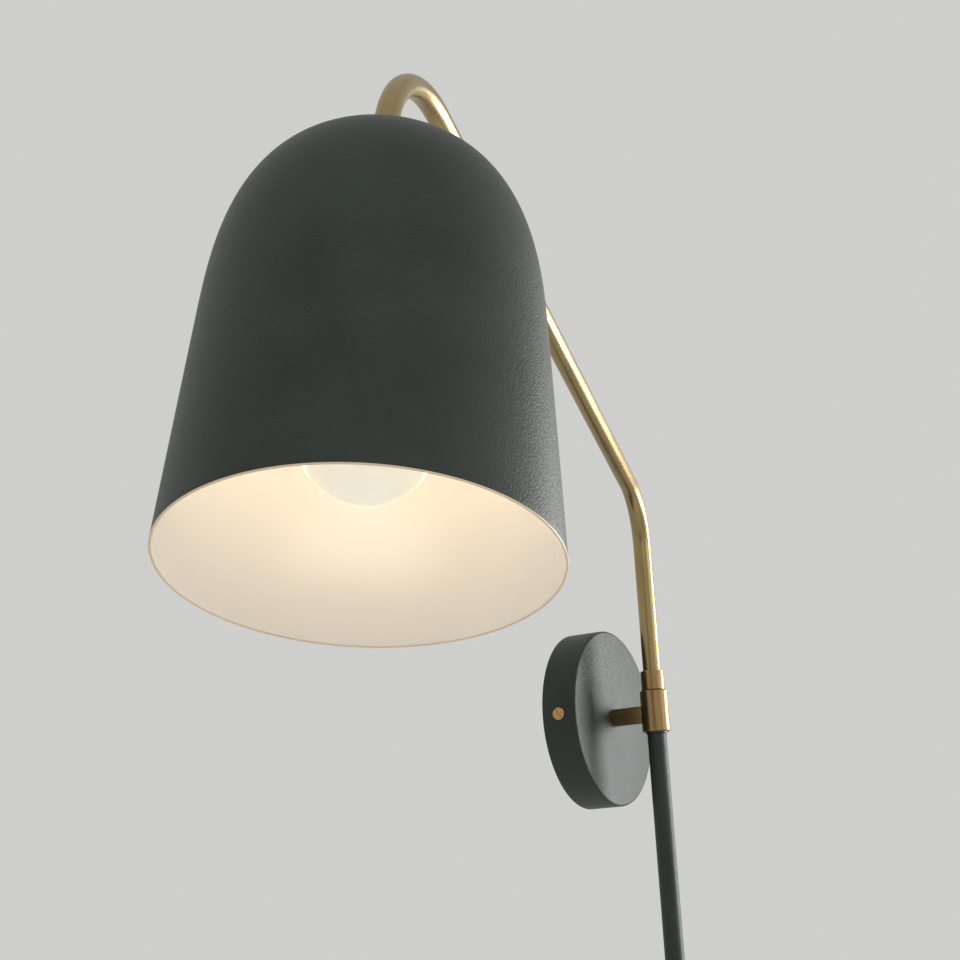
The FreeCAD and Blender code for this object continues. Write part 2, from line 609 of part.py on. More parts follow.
def shade_curve(wall):
    """Smooth curve from the flat seat over the dome to the start of the cone."""
    turns = [SHADE_FIRST + (1 - SHADE_FIRST) * i / SHADE_SPANS for i in range(SHADE_SPANS + 1)]
    points = [V(SHADE_SEAT_RADIUS, 0, wall)] + [shade_point(turn, wall) for turn in turns]
    flare = math.radians(SHADE_FLARE)
    curve = Part.BSplineCurve()
    curve.interpolate(Points=points, InitialTangent=X, FinalTangent=V(math.sin(flare), 0, math.cos(flare)))
    return curve.toShape(), points[-1]


def shade():
    """Spun bell with a flat seat on top, open at the mouth."""
    hole = NIPPLE_RADIUS + FIT
    outside, outside_end = shade_curve(0)
    inside, inside_end = shade_curve(SHADE_WALL)
    edges = outline((hole, SHADE_WALL), (hole, 0), (SHADE_SEAT_RADIUS, 0)) + [outside]
    edges += outline((outside_end.x, outside_end.z), (SHADE_RIM_RADIUS, SHADE_LENGTH),
                     (SHADE_RIM_RADIUS - SHADE_WALL, SHADE_LENGTH), (inside_end.x, inside_end.z))
    edges += [inside] + outline((SHADE_SEAT_RADIUS, SHADE_WALL), (hole, SHADE_WALL))
    return on_shade(turned(edges))


def shade_ferrule():
    """Brass ferrule on top of the shade that takes the end of the gooseneck."""
    hole = NIPPLE_RADIUS + FIT
    socket = TUBE_RADIUS + FIT
    edges = outline((hole, 0), (FERRULE_RADIUS, 0), (FERRULE_RADIUS, -FERRULE_FLOOR),
                    (FERRULE_TOP_RADIUS, -FERRULE_HEIGHT), (socket, -FERRULE_HEIGHT),
                    (socket, -FERRULE_FLOOR), (hole, -FERRULE_FLOOR), (hole, 0))
    return on_shade(turned(edges))


def shade_nipple():
    """Threaded tube that joins gooseneck, shade and lampholder."""
    return on_shade(tube(NIPPLE_RADIUS, NIPPLE_BORE_RADIUS, -FERRULE_FLOOR - NIPPLE_IN_TUBE, CAP_TOP + CAP_SHOULDER))


def shade_washer():
    """Washer under the shade's seat."""
    return on_shade(tube(SHADE_WASHER_RADIUS, NIPPLE_RADIUS + FIT, SHADE_WALL, NUT_TOP))


def shade_nut():
    """Nut that clamps the shade on the nipple."""
    nut = hexagon(NUT_ACROSS_FLATS, NUT_TOP, SPACER_TOP)
    return on_shade(nut.cut(cylinder(NIPPLE_RADIUS + FIT, NUT_TOP, SPACER_TOP)))


def holder_spacer():
    """White sleeve that sets the lampholder's depth in the shade."""
    return on_shade(tube(SPACER_RADIUS, NIPPLE_RADIUS + FIT, SPACER_TOP, CAP_TOP))


# ---- lampholder and bulb -------------------------------------------------------------------
def holder_cap():
    """Upper half of the lampholder: threaded neck, sloping shoulder and skirt."""
    hole, neck, wall = NIPPLE_RADIUS + FIT, HOLDER_NECK_RADIUS, HOLDER_WALL
    shoulder = CAP_TOP + CAP_SHOULDER
    edges = outline((hole, CAP_TOP), (neck, CAP_TOP), (neck, CAP_TOP + wall), (HOLDER_RADIUS, shoulder + wall),
                    (HOLDER_RADIUS, BODY_TOP), (HOLDER_BORE, BODY_TOP), (HOLDER_BORE, shoulder + 2 * wall),
                    (neck - wall, shoulder), (hole, shoulder), (hole, CAP_TOP))
    return on_shade(turned(edges))


def holder_body():
    """Lower half of the lampholder, open at the mouth."""
    return on_shade(tube(HOLDER_RADIUS, HOLDER_BORE, BODY_TOP, BODY_BOTTOM))


def terminal_places():
    """Centres of the lampholder's two terminal screws."""
    return [V(side * TERMINAL_SCREW_OFFSET, 0, 0) for side in (-1, 1)]


def holder_insulator():
    """Ceramic disc that carries the contacts."""
    disc = cylinder(HOLDER_BORE - FIT, BODY_TOP, INSULATOR_BOTTOM)
    for place in terminal_places():
        disc = disc.cut(cylinder(TERMINAL_SCREW_RADIUS + FIT, BODY_TOP, INSULATOR_BOTTOM, Z, place))
    return on_shade(disc)


def holder_terminal_screws():
    """Terminal screws in the ceramic disc."""
    top = BODY_TOP - TERMINAL_SCREW_HEIGHT / 2
    return Part.Compound([on_shade(cylinder(TERMINAL_SCREW_RADIUS, top, INSULATOR_BOTTOM - FIT, Z, place))
                          for place in terminal_places()])


def screw_shell():
    """Metal shell that the bulb screws into."""
    start = INSULATOR_BOTTOM
    return on_shade(tube(SHELL_RADIUS, SHELL_RADIUS - SHELL_WALL, start, start + SHELL_HEIGHT))


def centre_contact():
    """Sprung strip that meets the bulb's tip: a foot, a riser and a tongue."""
    half_w, half_l, t = CONTACT_WIDTH / 2, CONTACT_LENGTH / 2, CONTACT_THICKNESS
    face = CONTACT_FACE
    foot = block(V(-half_l, -half_w, INSULATOR_BOTTOM), V(-half_l / 2, half_w, INSULATOR_BOTTOM + t))
    riser = block(V(-half_l / 2 - t, -half_w, INSULATOR_BOTTOM), V(-half_l / 2, half_w, face))
    tongue = block(V(-half_l / 2 - t, -half_w, face - t), V(half_l / 2, half_w, face))
    return on_shade(foot.fuse(riser).fuse(tongue).removeSplitter())


def bulb_contact():
    """Tip contact of the bulb."""
    return on_shade(cylinder(BULB_TIP_RADIUS, BULB_TIP, BULB_DISC))


def bulb_base_disc():
    """Insulating disc between the bulb's tip contact and its cap."""
    edges = outline((0, BULB_DISC), (BULB_TIP_RADIUS, BULB_DISC), (BULB_CAP_RADIUS - BULB_CAP_WALL, BULB_CAP_TOP),
                    (0, BULB_CAP_TOP), (0, BULB_DISC))
    return on_shade(turned(edges))


def bulb_cap():
    """Screw cap of the bulb."""
    bore = BULB_CAP_RADIUS - BULB_CAP_WALL
    return on_shade(tube(BULB_CAP_RADIUS, bore, BULB_CAP_TOP, BULB_CAP_BOTTOM))


def glass_skin(inset):
    """Neck line, tangent throat arc and round end of the bulb, at a distance inside its skin."""
    ball = BULB_RADIUS - inset
    neck = BULB_NECK_RADIUS - inset
    throat_height = BULB_CAP_BOTTOM + BULB_NECK_LENGTH
    dz = BULB_CENTRE - throat_height
    throat = (dz ** 2 + neck ** 2 - ball ** 2) / (2 * (ball - neck))
    middle = neck + throat
    length = math.hypot(middle, dz)
    touch = V(middle * ball / length, 0, BULB_CENTRE - dz * ball / length)
    half = math.atan2(dz, middle) / 2
    mid = V(middle - throat * math.cos(half), 0, throat_height + throat * math.sin(half))
    side = math.atan2(touch.x, touch.z - BULB_CENTRE) / 2
    ball_mid = V(ball * math.sin(side), 0, BULB_CENTRE + ball * math.cos(side))
    start, end = V(neck, 0, throat_height), V(0, 0, BULB_CENTRE + ball)
    return throat_height, neck, [Part.Arc(start, mid, touch).toShape(), Part.Arc(touch, ball_mid, end).toShape()]


def bulb_glass():
    """Opal glass envelope, a shell closed round the end."""
    height, neck, outside = glass_skin(0)
    _, bore, inside = glass_skin(BULB_GLASS)
    end, start = BULB_CENTRE + BULB_RADIUS, BULB_CAP_BOTTOM
    edges = outline((bore, height), (bore, start), (neck, start), (neck, height)) + outside
    edges += outline((0, end), (0, end - BULB_GLASS)) + inside
    return on_shade(turned(Part.__sortEdges__(edges)))


def bulb_stem():
    """Glass stem with the two hubs that the filaments stand between."""
    hub_a, hub_b = filament_span()
    stem = cylinder(STEM_RADIUS, BULB_CAP_TOP, hub_a - STEM_HUB_THICKNESS)
    stem = stem.fuse(cylinder(STEM_HUB_RADIUS, hub_a - STEM_HUB_THICKNESS, hub_a))
    stem = stem.fuse(cylinder(STEM_ROD_RADIUS, hub_a, hub_b))
    return on_shade(stem.fuse(cylinder(STEM_HUB_RADIUS, hub_b, hub_b + STEM_HUB_THICKNESS)))


def filament_span():
    """Heights between which the filaments stand."""
    start = BULB_CAP_TOP + STEM_HEIGHT - FILAMENT_LENGTH / 2
    return start, start + FILAMENT_LENGTH


def bulb_filaments():
    """Light-emitting sticks between the stem's hubs."""
    low, high = filament_span()
    ring = STEM_HUB_RADIUS - 2 * FILAMENT_RADIUS
    sticks = []
    for i in range(FILAMENT_COUNT):
        angle = 2 * math.pi * i / FILAMENT_COUNT
        place = V(ring * math.cos(angle), ring * math.sin(angle), 0)
        sticks.append(on_shade(cylinder(FILAMENT_RADIUS, low, high, Z, place)))
    return Part.Compound(sticks)


PIECES = {
    "wall_bracket": wall_bracket,
    "canopy": canopy,
    "canopy_screws": canopy_screws,
    "stub_arm": stub_arm,
    "canopy_washer": lambda: tube(WASHER_RADIUS, STUB_THREAD_RADIUS + FIT, CANOPY_INSIDE, NUT_FACE, Y),
    "stub_nut": lambda: hexagon(NUT_ACROSS_FLATS, NUT_FACE, NUT_FACE + NUT_THICKNESS, Y).cut(
        cylinder(STUB_THREAD_RADIUS + FIT, NUT_FACE, NUT_FACE + NUT_THICKNESS, Y)),
    "tee_body": tee_body,
    "top_bush": lambda: bush(TOP_FLANGE_RADIUS, TEE_ABOVE, 1),
    "bottom_bush": lambda: bush(BOTTOM_FLANGE_RADIUS, -TEE_BELOW, -1),
    "terminal_block": terminal_block,
    "terminal_inserts": terminal_inserts,
    "terminal_screws": terminal_screws,
    "block_screw": block_screw,
    "earth_screw": earth_screw,
    "earth_washer": earth_washer,
    "earth_wire": earth_wire,
    "canopy_lead": canopy_lead,
    "pivot_spindle": pivot_spindle,
    "collar_grub_screw": collar_grub_screw,
    "spring_washer": spring_washer,
    "handle_ferrule": handle_ferrule,
    "lower_tube": lower_tube,
    "end_plug": end_plug,
    "gooseneck_tube": gooseneck_tube,
    "arm_lead": arm_lead,
    "shade": shade,
    "shade_ferrule": shade_ferrule,
    "shade_nipple": shade_nipple,
    "shade_washer": shade_washer,
    "shade_nut": shade_nut,
    "holder_spacer": holder_spacer,
    "holder_cap": holder_cap,
    "holder_body": holder_body,
    "holder_insulator": holder_insulator,
    "holder_terminal_screws": holder_terminal_screws,
    "screw_shell": screw_shell,
    "centre_contact": centre_contact,
    "bulb_contact": bulb_contact,
    "bulb_base_disc": bulb_base_disc,
    "bulb_cap": bulb_cap,
    "bulb_glass": bulb_glass,
    "bulb_stem": bulb_stem,
    "bulb_filaments": bulb_filaments,
}

os.makedirs("parts", exist_ok=True)
for name, make in PIECES.items():
    piece = make()
    piece.exportStep(f"parts/{name}.step")
    print(f"{name}: {len(piece.Solids)} solid(s), {piece.Volume:.1f} mm3, valid {piece.isValid()}")
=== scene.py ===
"""Looks of a gooseneck wall sconce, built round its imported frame.

Everything is in metres in the lamp's own frame: the wall is the plane y = 0, -Y points into the
room and +Z is up. Each sub-assembly is a class that builds its meshes as surfaces worked out with
numpy, gives them their finish and sets them on the body that carries them.
"""

import json
import logging
import math
from dataclasses import dataclass
from enum import Enum, IntEnum
from typing import Any, Iterable, Sequence

import bmesh
import bpy
import numpy as np
from mathutils import Matrix, Vector

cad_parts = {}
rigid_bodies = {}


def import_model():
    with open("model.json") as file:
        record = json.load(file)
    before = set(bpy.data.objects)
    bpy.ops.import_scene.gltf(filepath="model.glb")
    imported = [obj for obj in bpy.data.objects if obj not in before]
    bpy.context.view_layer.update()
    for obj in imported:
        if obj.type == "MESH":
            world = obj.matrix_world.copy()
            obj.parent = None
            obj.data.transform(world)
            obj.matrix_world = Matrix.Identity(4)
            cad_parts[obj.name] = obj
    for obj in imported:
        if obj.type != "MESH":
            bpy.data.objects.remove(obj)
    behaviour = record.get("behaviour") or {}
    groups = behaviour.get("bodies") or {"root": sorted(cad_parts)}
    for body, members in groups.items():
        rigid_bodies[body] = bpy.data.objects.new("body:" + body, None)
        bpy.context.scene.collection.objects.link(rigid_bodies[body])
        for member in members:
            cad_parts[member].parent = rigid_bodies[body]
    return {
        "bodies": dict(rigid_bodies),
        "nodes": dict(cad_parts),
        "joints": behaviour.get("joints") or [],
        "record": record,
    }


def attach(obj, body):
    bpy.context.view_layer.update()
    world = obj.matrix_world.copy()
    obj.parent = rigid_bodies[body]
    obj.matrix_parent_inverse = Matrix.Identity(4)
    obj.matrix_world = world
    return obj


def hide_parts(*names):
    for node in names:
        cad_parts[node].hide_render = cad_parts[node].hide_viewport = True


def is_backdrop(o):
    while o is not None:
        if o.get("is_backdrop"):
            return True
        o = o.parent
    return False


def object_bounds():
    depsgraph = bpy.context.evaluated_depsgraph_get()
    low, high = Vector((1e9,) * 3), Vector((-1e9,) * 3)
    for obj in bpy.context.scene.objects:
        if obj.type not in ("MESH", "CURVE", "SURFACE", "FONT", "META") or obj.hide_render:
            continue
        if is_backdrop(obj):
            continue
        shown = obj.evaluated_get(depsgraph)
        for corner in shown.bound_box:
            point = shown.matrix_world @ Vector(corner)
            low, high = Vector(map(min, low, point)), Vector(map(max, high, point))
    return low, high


LOG = logging.getLogger("sconce")
MM = 0.001
WELD = 1e-6  # points nearer than this are one point
CORNER_POINTS = 6  # points of each rounded corner of an outline
MIDDLE = 0.5  # mean of a noise
WALL_SIDE = "wall_side"
ARM = "arm"

Array = np.ndarray
Colour = tuple[float, float, float, float]
Triple = tuple[float, float, float]
Corner = tuple[float, float, float]  # radius, height and fillet of an outline's corner

UP = np.array([0, 0, 1.0])


def rgb(red: float, green: float, blue: float) -> Colour:
    """Opaque linear colour."""
    return (red, green, blue, 1.0)


# ---- shader nodes ---------------------------------------------------------------------------


class Maths(Enum):
    """Math node operations used by the finishes."""

    ADD = "ADD"
    SUBTRACT = "SUBTRACT"
    MULTIPLY = "MULTIPLY"
    MINIMUM = "MINIMUM"
    MAXIMUM = "MAXIMUM"


class Signal:
    """A number output of a shader node that can be used in Python expressions."""

    def __init__(self, graph: "Graph", socket: bpy.types.NodeSocket) -> None:
        """Wrap a socket of a graph."""
        self.graph = graph
        self.socket = socket

    def _join(self, operation: Maths, first: Any, second: Any) -> "Signal":
        """Add a Math node for an operation on two values or signals."""
        node = self.graph.add("ShaderNodeMath", {"operation": operation.value}, {0: first, 1: second})
        return Signal(self.graph, node.outputs[0])

    def __add__(self, other: Any) -> "Signal":
        """Sum."""
        return self._join(Maths.ADD, self, other)

    __radd__ = __add__

    def __sub__(self, other: Any) -> "Signal":
        """Difference."""
        return self._join(Maths.SUBTRACT, self, other)

    def __rsub__(self, other: Any) -> "Signal":
        """Difference from a number."""
        return self._join(Maths.SUBTRACT, other, self)

    def __mul__(self, other: Any) -> "Signal":
        """Product."""
        return self._join(Maths.MULTIPLY, self, other)

    __rmul__ = __mul__

    def held(self, low: float, high: float) -> "Signal":
        """This signal, kept between two numbers."""
        return self._join(Maths.MINIMUM, self._join(Maths.MAXIMUM, self, low), high)

    def swing(self, depth: float) -> "Signal":
        """How far this noise is from its mean, times a depth."""
        return (self - MIDDLE) * depth

    def mixed(self, other: "Signal", share: float) -> "Signal":
        """A share of this signal and the rest of the other."""
        return self * share + other * (1 - share)


class Graph:
    """The node tree of one material."""

    def __init__(self, name: str) -> None:
        """Start a material with only its output and a Principled shader.

        Args:
            name: The material's name.
        """
        self.material = bpy.data.materials.new(name)
        self.material.use_nodes = True
        self.tree = self.material.node_tree
        self.tree.nodes.clear()
        self.output = self.add("ShaderNodeOutputMaterial", {}, {})
        self.shader = self.add("ShaderNodeBsdfPrincipled", {}, {})
        self.tree.links.new(self.shader.outputs[0], self.output.inputs["Surface"])

    def add(self, kind: str, settings: dict[str, Any], inputs: dict[Any, Any]) -> bpy.types.Node:
        """Add a node, its settings first and then its sockets.

        Args:
            kind: The node's type.
            settings: Values of its properties; "stops" fills a colour ramp.
            inputs: Values, sockets or signals by socket name or number.

        Returns:
            The node.
        """
        node = self.tree.nodes.new(kind)
        for name, value in settings.items():
            if name == "stops":
                ramp = node.color_ramp
                while len(ramp.elements) < len(value):
                    ramp.elements.new(0.5)
                for element, (place, colour) in zip(ramp.elements, value):
                    element.position = place
                    element.color = colour
            else:
                setattr(node, name, value)
        for name, value in inputs.items():
            self.feed(node.inputs[name], value)
        return node

    def feed(self, socket: bpy.types.NodeSocket, value: Any) -> None:
        """Give a socket a signal, a link or a plain value.

        Args:
            socket: The socket to feed.
            value: What feeds it.
        """
        if isinstance(value, Signal):
            self.tree.links.new(value.socket, socket)
        elif isinstance(value, bpy.types.NodeSocket):
            self.tree.links.new(value, socket)
        else:
            socket.default_value = value

    def set(self, **values: Any) -> None:
        """Feed the Principled shader's sockets, underscores standing for spaces."""
        for name, value in values.items():
            self.feed(self.shader.inputs[name.replace("_", " ")], value)

    def place(self, stretch: Sequence[float] = (1, 1, 1), surface: bool = False) -> bpy.types.NodeSocket:
        """Object or surface coordinates, stretched along each axis.

        Args:
            stretch: Scale of each coordinate.
            surface: Whether to read the piece's surface map instead of object coordinates.

        Returns:
            The coordinates' socket.
        """
        source = self.add("ShaderNodeTexCoord", {}, {})
        where = source.outputs["UV" if surface else "Object"]
        mapping = self.add("ShaderNodeMapping", {}, {"Vector": where, "Scale": tuple(stretch)})
        return mapping.outputs[0]

    def noise(
        self, where: bpy.types.NodeSocket, scale: float, detail: float = 2.0, rough: float = 0.5
    ) -> Signal:
        """Noise between 0 and 1."""
        inputs = {"Vector": where, "Scale": scale, "Detail": detail, "Roughness": rough}
        return Signal(self, self.add("ShaderNodeTexNoise", {}, inputs).outputs[0])

    def ramp(self, signal: Signal, stops: Iterable[tuple[float, Colour]]) -> bpy.types.NodeSocket:
        """Colour ramp on a signal."""
        return self.add("ShaderNodeValToRGB", {"stops": list(stops)}, {"Fac": signal}).outputs[0]

    def bump(self, height: Signal, depth: float, strength: float) -> None:
        """Bump of the whole material, depth in metres."""
        node = self.add("ShaderNodeBump", {}, {"Height": height, "Distance": depth, "Strength": strength})
        self.set(Normal=node.outputs[0])


# ---- finishes -------------------------------------------------------------------------------


@dataclass(frozen=True)
class PowderCoat:
    """Fine-textured dark green powder coat: a pebbled skin with faint cloudy shade changes."""

    name: str = "green_powder_coat"
    dark: Colour = rgb(0.015, 0.022, 0.017)
    light: Colour = rgb(0.028, 0.041, 0.032)
    roughness: float = 0.47
    gloss: float = 0.32
    pebble_scale: float = 950.0
    cloud_scale: float = 22.0
    depth: float = 0.00030
    stops: tuple[float, float] = (0.3, 0.7)
    cloud_share: float = 0.7
    pebble_swing: float = 0.25
    cloud_swing: float = 0.10

    def build(self) -> bpy.types.Material:
        """Make the material.

        Returns:
            The material.
        """
        g = Graph(self.name)
        where = g.place()
        cloud = g.noise(where, self.cloud_scale, detail=3.0)
        pebble = g.noise(where, self.pebble_scale, rough=0.55)
        tone = cloud.mixed(pebble, self.cloud_share)
        g.set(
            Base_Color=g.ramp(tone, zip(self.stops, (self.dark, self.light))),
            Roughness=pebble.swing(self.pebble_swing) + cloud.swing(self.cloud_swing) + self.roughness,
            Specular_IOR_Level=self.gloss,
        )
        g.bump(pebble, self.depth, strength=0.85)
        return g.material


@dataclass(frozen=True)
class Brass:
    """Brushed brass with streaks along the piece and slow tarnish.

    The streaks follow the surface map, which runs in metres, or else the object axis whose
    lengthwise scale is small.
    """

    name: str
    bright: Colour
    dull: Colour
    roughness: float
    streak_scale: float = 900.0
    streak_stretch: float = 0.010
    tarnish_scale: float = 28.0
    depth: float = 0.000006
    surface: bool = True
    lengthwise: Triple = (1.0, 1.0, 1.0)
    stops: tuple[float, float] = (0.30, 0.68)
    tarnish_share: float = 0.45
    streak_swing: float = 0.16
    tarnish_swing: float = 0.12
    rough_range: tuple[float, float] = (0.12, 0.8)

    def build(self) -> bpy.types.Material:
        """Make the material.

        Returns:
            The material.
        """
        g = Graph(self.name)
        if self.surface:
            where = g.place((self.streak_stretch, 1.0, 1.0), surface=True)
        else:
            where = g.place(self.lengthwise)
        streak = g.noise(where, self.streak_scale, detail=3.0, rough=0.6)
        tarnish = g.noise(g.place(), self.tarnish_scale, detail=4.0, rough=0.6)
        tone = tarnish.mixed(streak, self.tarnish_share)
        rough = streak.swing(self.streak_swing) + tarnish.swing(self.tarnish_swing) + self.roughness
        g.set(
            Base_Color=g.ramp(tone, zip(self.stops, (self.dull, self.bright))),
            Metallic=1.0,
            Roughness=rough.held(*self.rough_range),
        )
        g.bump(streak, self.depth, strength=0.4)
        return g.material


@dataclass(frozen=True)
class Plain:
    """Moulded, plated or enamelled finish: slight tone change and a fine skin."""

    name: str
    colour: Colour
    shade: Colour
    roughness: float
    metallic: float = 0.0
    scale: float = 260.0
    depth: float = 0.00002
    stretch: Triple = (1.0, 1.0, 1.0)
    stops: tuple[float, float] = (0.3, 0.7)
    fine_share: float = 0.4
    broadness: float = 8.0
    rough_swing: float = 0.2
    rough_range: tuple[float, float] = (0.05, 0.95)

    def build(self) -> bpy.types.Material:
        """Make the material.

        Returns:
            The material.
        """
        g = Graph(self.name)
        fine = g.noise(g.place(self.stretch), self.scale, detail=3.0)
        broad = g.noise(g.place(), self.scale / self.broadness)
        tone = fine.mixed(broad, self.fine_share)
        g.set(
            Base_Color=g.ramp(tone, zip(self.stops, (self.shade, self.colour))),
            Metallic=self.metallic,
            Roughness=(fine.swing(self.rough_swing) + self.roughness).held(*self.rough_range),
        )
        g.bump(fine, self.depth, strength=0.5)
        return g.material


@dataclass(frozen=True)
class ShadeLining:
    """White enamel lining, lit warm by the bulb, with a fine orange-peel skin."""

    name: str = "white_lining"
    white: Colour = rgb(0.90, 0.88, 0.84)
    cream: Colour = rgb(0.88, 0.845, 0.79)
    roughness: float = 0.24
    peel_scale: float = 300.0
    cloud_scale: float = 15.0
    depth: float = 0.00002
    stops: tuple[float, float] = (0.3, 0.65)
    cloud_share: float = 0.8
    peel_swing: float = 0.06

    def build(self) -> bpy.types.Material:
        """Make the material.

        Returns:
            The material.
        """
        g = Graph(self.name)
        peel = g.noise(g.place(), self.peel_scale)
        cloud = g.noise(g.place(), self.cloud_scale)
        tone = cloud.mixed(peel, self.cloud_share)
        g.set(
            Base_Color=g.ramp(tone, zip(self.stops, (self.cream, self.white))),
            Roughness=peel.swing(self.peel_swing) + self.roughness,
        )
        g.bump(peel, self.depth, strength=0.25)
        return g.material


@dataclass(frozen=True)
class OpalGlow:
    """Opal glass lit from inside: bright from neck to belly, and nearly unlit at its foot.

    The surface map's first number runs 0 to 1 from neck to foot.
    """

    name: str = "opal_glass"
    glow: Colour = rgb(1.0, 0.84, 0.62)
    neck: Colour = rgb(1.0, 0.77, 0.53)
    foot: Colour = rgb(0.09, 0.08, 0.055)
    milk: Colour = rgb(0.95, 0.92, 0.86)
    thin_milk: Colour = rgb(0.90, 0.86, 0.78)
    strength: float = 3.0
    roughness: float = 0.12
    mottle_scale: float = 55.0
    milk_stops: tuple[float, float] = (0.3, 0.7)
    glow_stops: tuple[float, float, float, float] = (0.1, 0.35, 0.6, 0.72)
    along_share: float = 0.95
    mottle_swing: float = 0.05

    def build(self) -> bpy.types.Material:
        """Make the material.

        Returns:
            The material.
        """
        g = Graph(self.name)
        mottle = g.noise(g.place(), self.mottle_scale, detail=3.0)
        split = g.add("ShaderNodeSeparateXYZ", {}, {0: g.place(surface=True)})
        along = Signal(g, split.outputs[0])
        tone = along.mixed(mottle, self.along_share).held(0.0, 1.0)
        glows = (self.neck, self.glow, self.glow, self.foot)
        g.set(
            Base_Color=g.ramp(mottle, zip(self.milk_stops, (self.thin_milk, self.milk))),
            Roughness=mottle.swing(self.mottle_swing) + self.roughness,
            Emission_Color=g.ramp(tone, zip(self.glow_stops, glows)),
            Emission_Strength=self.strength,
        )
        return g.material


# ---- surfaces -------------------------------------------------------------------------------


class Surface:
    """Mesh gathered from grids of points, with a surface map and a material number per grid."""

    def __init__(self) -> None:
        """Start with no points."""
        self.points: list[Array] = []
        self.faces: list[Array] = []
        self.maps: list[Array] = []
        self.finishes: list[Array] = []
        self.count = 0

    def grid(
        self, points: Array, chart: Array, finish: int = 0, closed: bool = True, flip: bool = False
    ) -> "Surface":
        """Add a grid of quads.

        Args:
            points: Positions, rows by columns by 3. Columns wrap round when closed.
            chart: Surface coordinates of the points, one more column than points when closed.
            finish: Material number of its faces.
            closed: Whether the last column joins the first.
            flip: Whether the faces point the other way.

        Returns:
            This surface.
        """
        rows, columns = points.shape[:2]
        spans = columns if closed else columns - 1
        i, j = np.meshgrid(np.arange(rows - 1), np.arange(spans), indexing="ij")
        k = (j + 1) % columns
        quad = np.stack([i * columns + j, i * columns + k, (i + 1) * columns + k, (i + 1) * columns + j], -1)
        corner = np.stack([chart[i, j], chart[i, j + 1], chart[i + 1, j + 1], chart[i + 1, j]], -2)
        if flip:
            quad, corner = quad[..., ::-1], corner[..., ::-1, :]
        self.points.append(points.reshape(-1, 3))
        self.faces.append(quad.reshape(-1, 4) + self.count)
        self.maps.append(corner.reshape(-1, 4, 2))
        self.finishes.append(np.full(quad.shape[0] * quad.shape[1], finish, np.int32))
        self.count += rows * columns
        return self

    def sleeve(
        self, outer: Array, inner: Array, chart: Array, inner_chart: Array, flip: bool = False
    ) -> "Surface":
        """Add a wall between two skins, with a ring at each end.

        Args:
            outer: Outer skin, rows by columns by 3.
            inner: Inner skin of the same size.
            chart: Surface coordinates of the outer skin and of the rings.
            inner_chart: Surface coordinates of the inner skin.
            flip: Whether the rows run so that the faces have to be turned.

        Returns:
            This surface.
        """
        self.grid(outer, chart, flip=flip).grid(inner, inner_chart, flip=not flip)
        self.grid(np.stack([inner[0], outer[0]]), chart[:2], flip=flip)
        return self.grid(np.stack([outer[-1], inner[-1]]), chart[:2], flip=flip)

    def join(self, other: "Surface") -> "Surface":
        """Add all grids of another surface.

        Args:
            other: The surface to add.

        Returns:
            This surface.
        """
        self.points += other.points
        self.faces += [faces + self.count for faces in other.faces]
        self.maps += other.maps
        self.finishes += other.finishes
        self.count += other.count
        return self

    def build(self, name: str) -> bpy.types.Object:
        """Make the object.

        Points that meet are merged. A quad with two corners in one point, as at a pole, becomes a
        triangle, and one with less left is dropped.

        Args:
            name: The object's name.

        Returns:
            The object.
        """
        points = np.concatenate(self.points)
        faces = np.concatenate(self.faces)
        keys = np.round(points / WELD).astype(np.int64)
        _, first, merged = np.unique(keys, axis=0, return_index=True, return_inverse=True)
        faces = merged.reshape(-1)[faces]
        charts = np.concatenate(self.maps)
        finish = np.concatenate(self.finishes)
        polygons, chart_rows, numbers = [], [], []
        doubled = faces == np.roll(faces, -1, axis=1)
        whole = ~doubled.any(axis=1)
        mesh = bpy.data.meshes.new(name)
        pinched = zip(faces[~whole], charts[~whole], finish[~whole], doubled[~whole])
        for quad, chart, number, repeat in pinched:
            keep = np.flatnonzero(~repeat)
            if len(keep) == 3:
                polygons.append(quad[keep])
                chart_rows.append(chart[keep])
                numbers.append(number)
        every = [f.tolist() for f in faces[whole]] + [p.tolist() for p in polygons]
        mesh.from_pydata(points[first].tolist(), [], every)
        layer = mesh.uv_layers.new(name="surface")
        flat = np.concatenate([charts[whole].reshape(-1, 2)] + [c.reshape(-1, 2) for c in chart_rows])
        layer.data.foreach_set("uv", flat.astype(np.float32).reshape(-1))
        order = np.concatenate([finish[whole], np.array(numbers, np.int32)])
        mesh.polygons.foreach_set("material_index", order)
        mesh.polygons.foreach_set("use_smooth", np.ones(len(every), bool))
        mesh.validate()
        mesh.update()
        piece = bpy.data.objects.new(name, mesh)
        bpy.context.scene.collection.objects.link(piece)
        return piece


def spokes(seat: Array, sides: int) -> Array:
    """Unit directions evenly round a seat's third axis: cos a first axis + sin a second axis."""
    angle = np.linspace(0, 2 * np.pi, sides, endpoint=False)
    return np.cos(angle)[:, None] * seat[1] + np.sin(angle)[:, None] * seat[2]


def distances(points: Array) -> Array:
    """Distance of each point from the first, along the line through them."""
    return np.concatenate([[0], np.cumsum(np.linalg.norm(np.diff(points, axis=0), axis=1))])


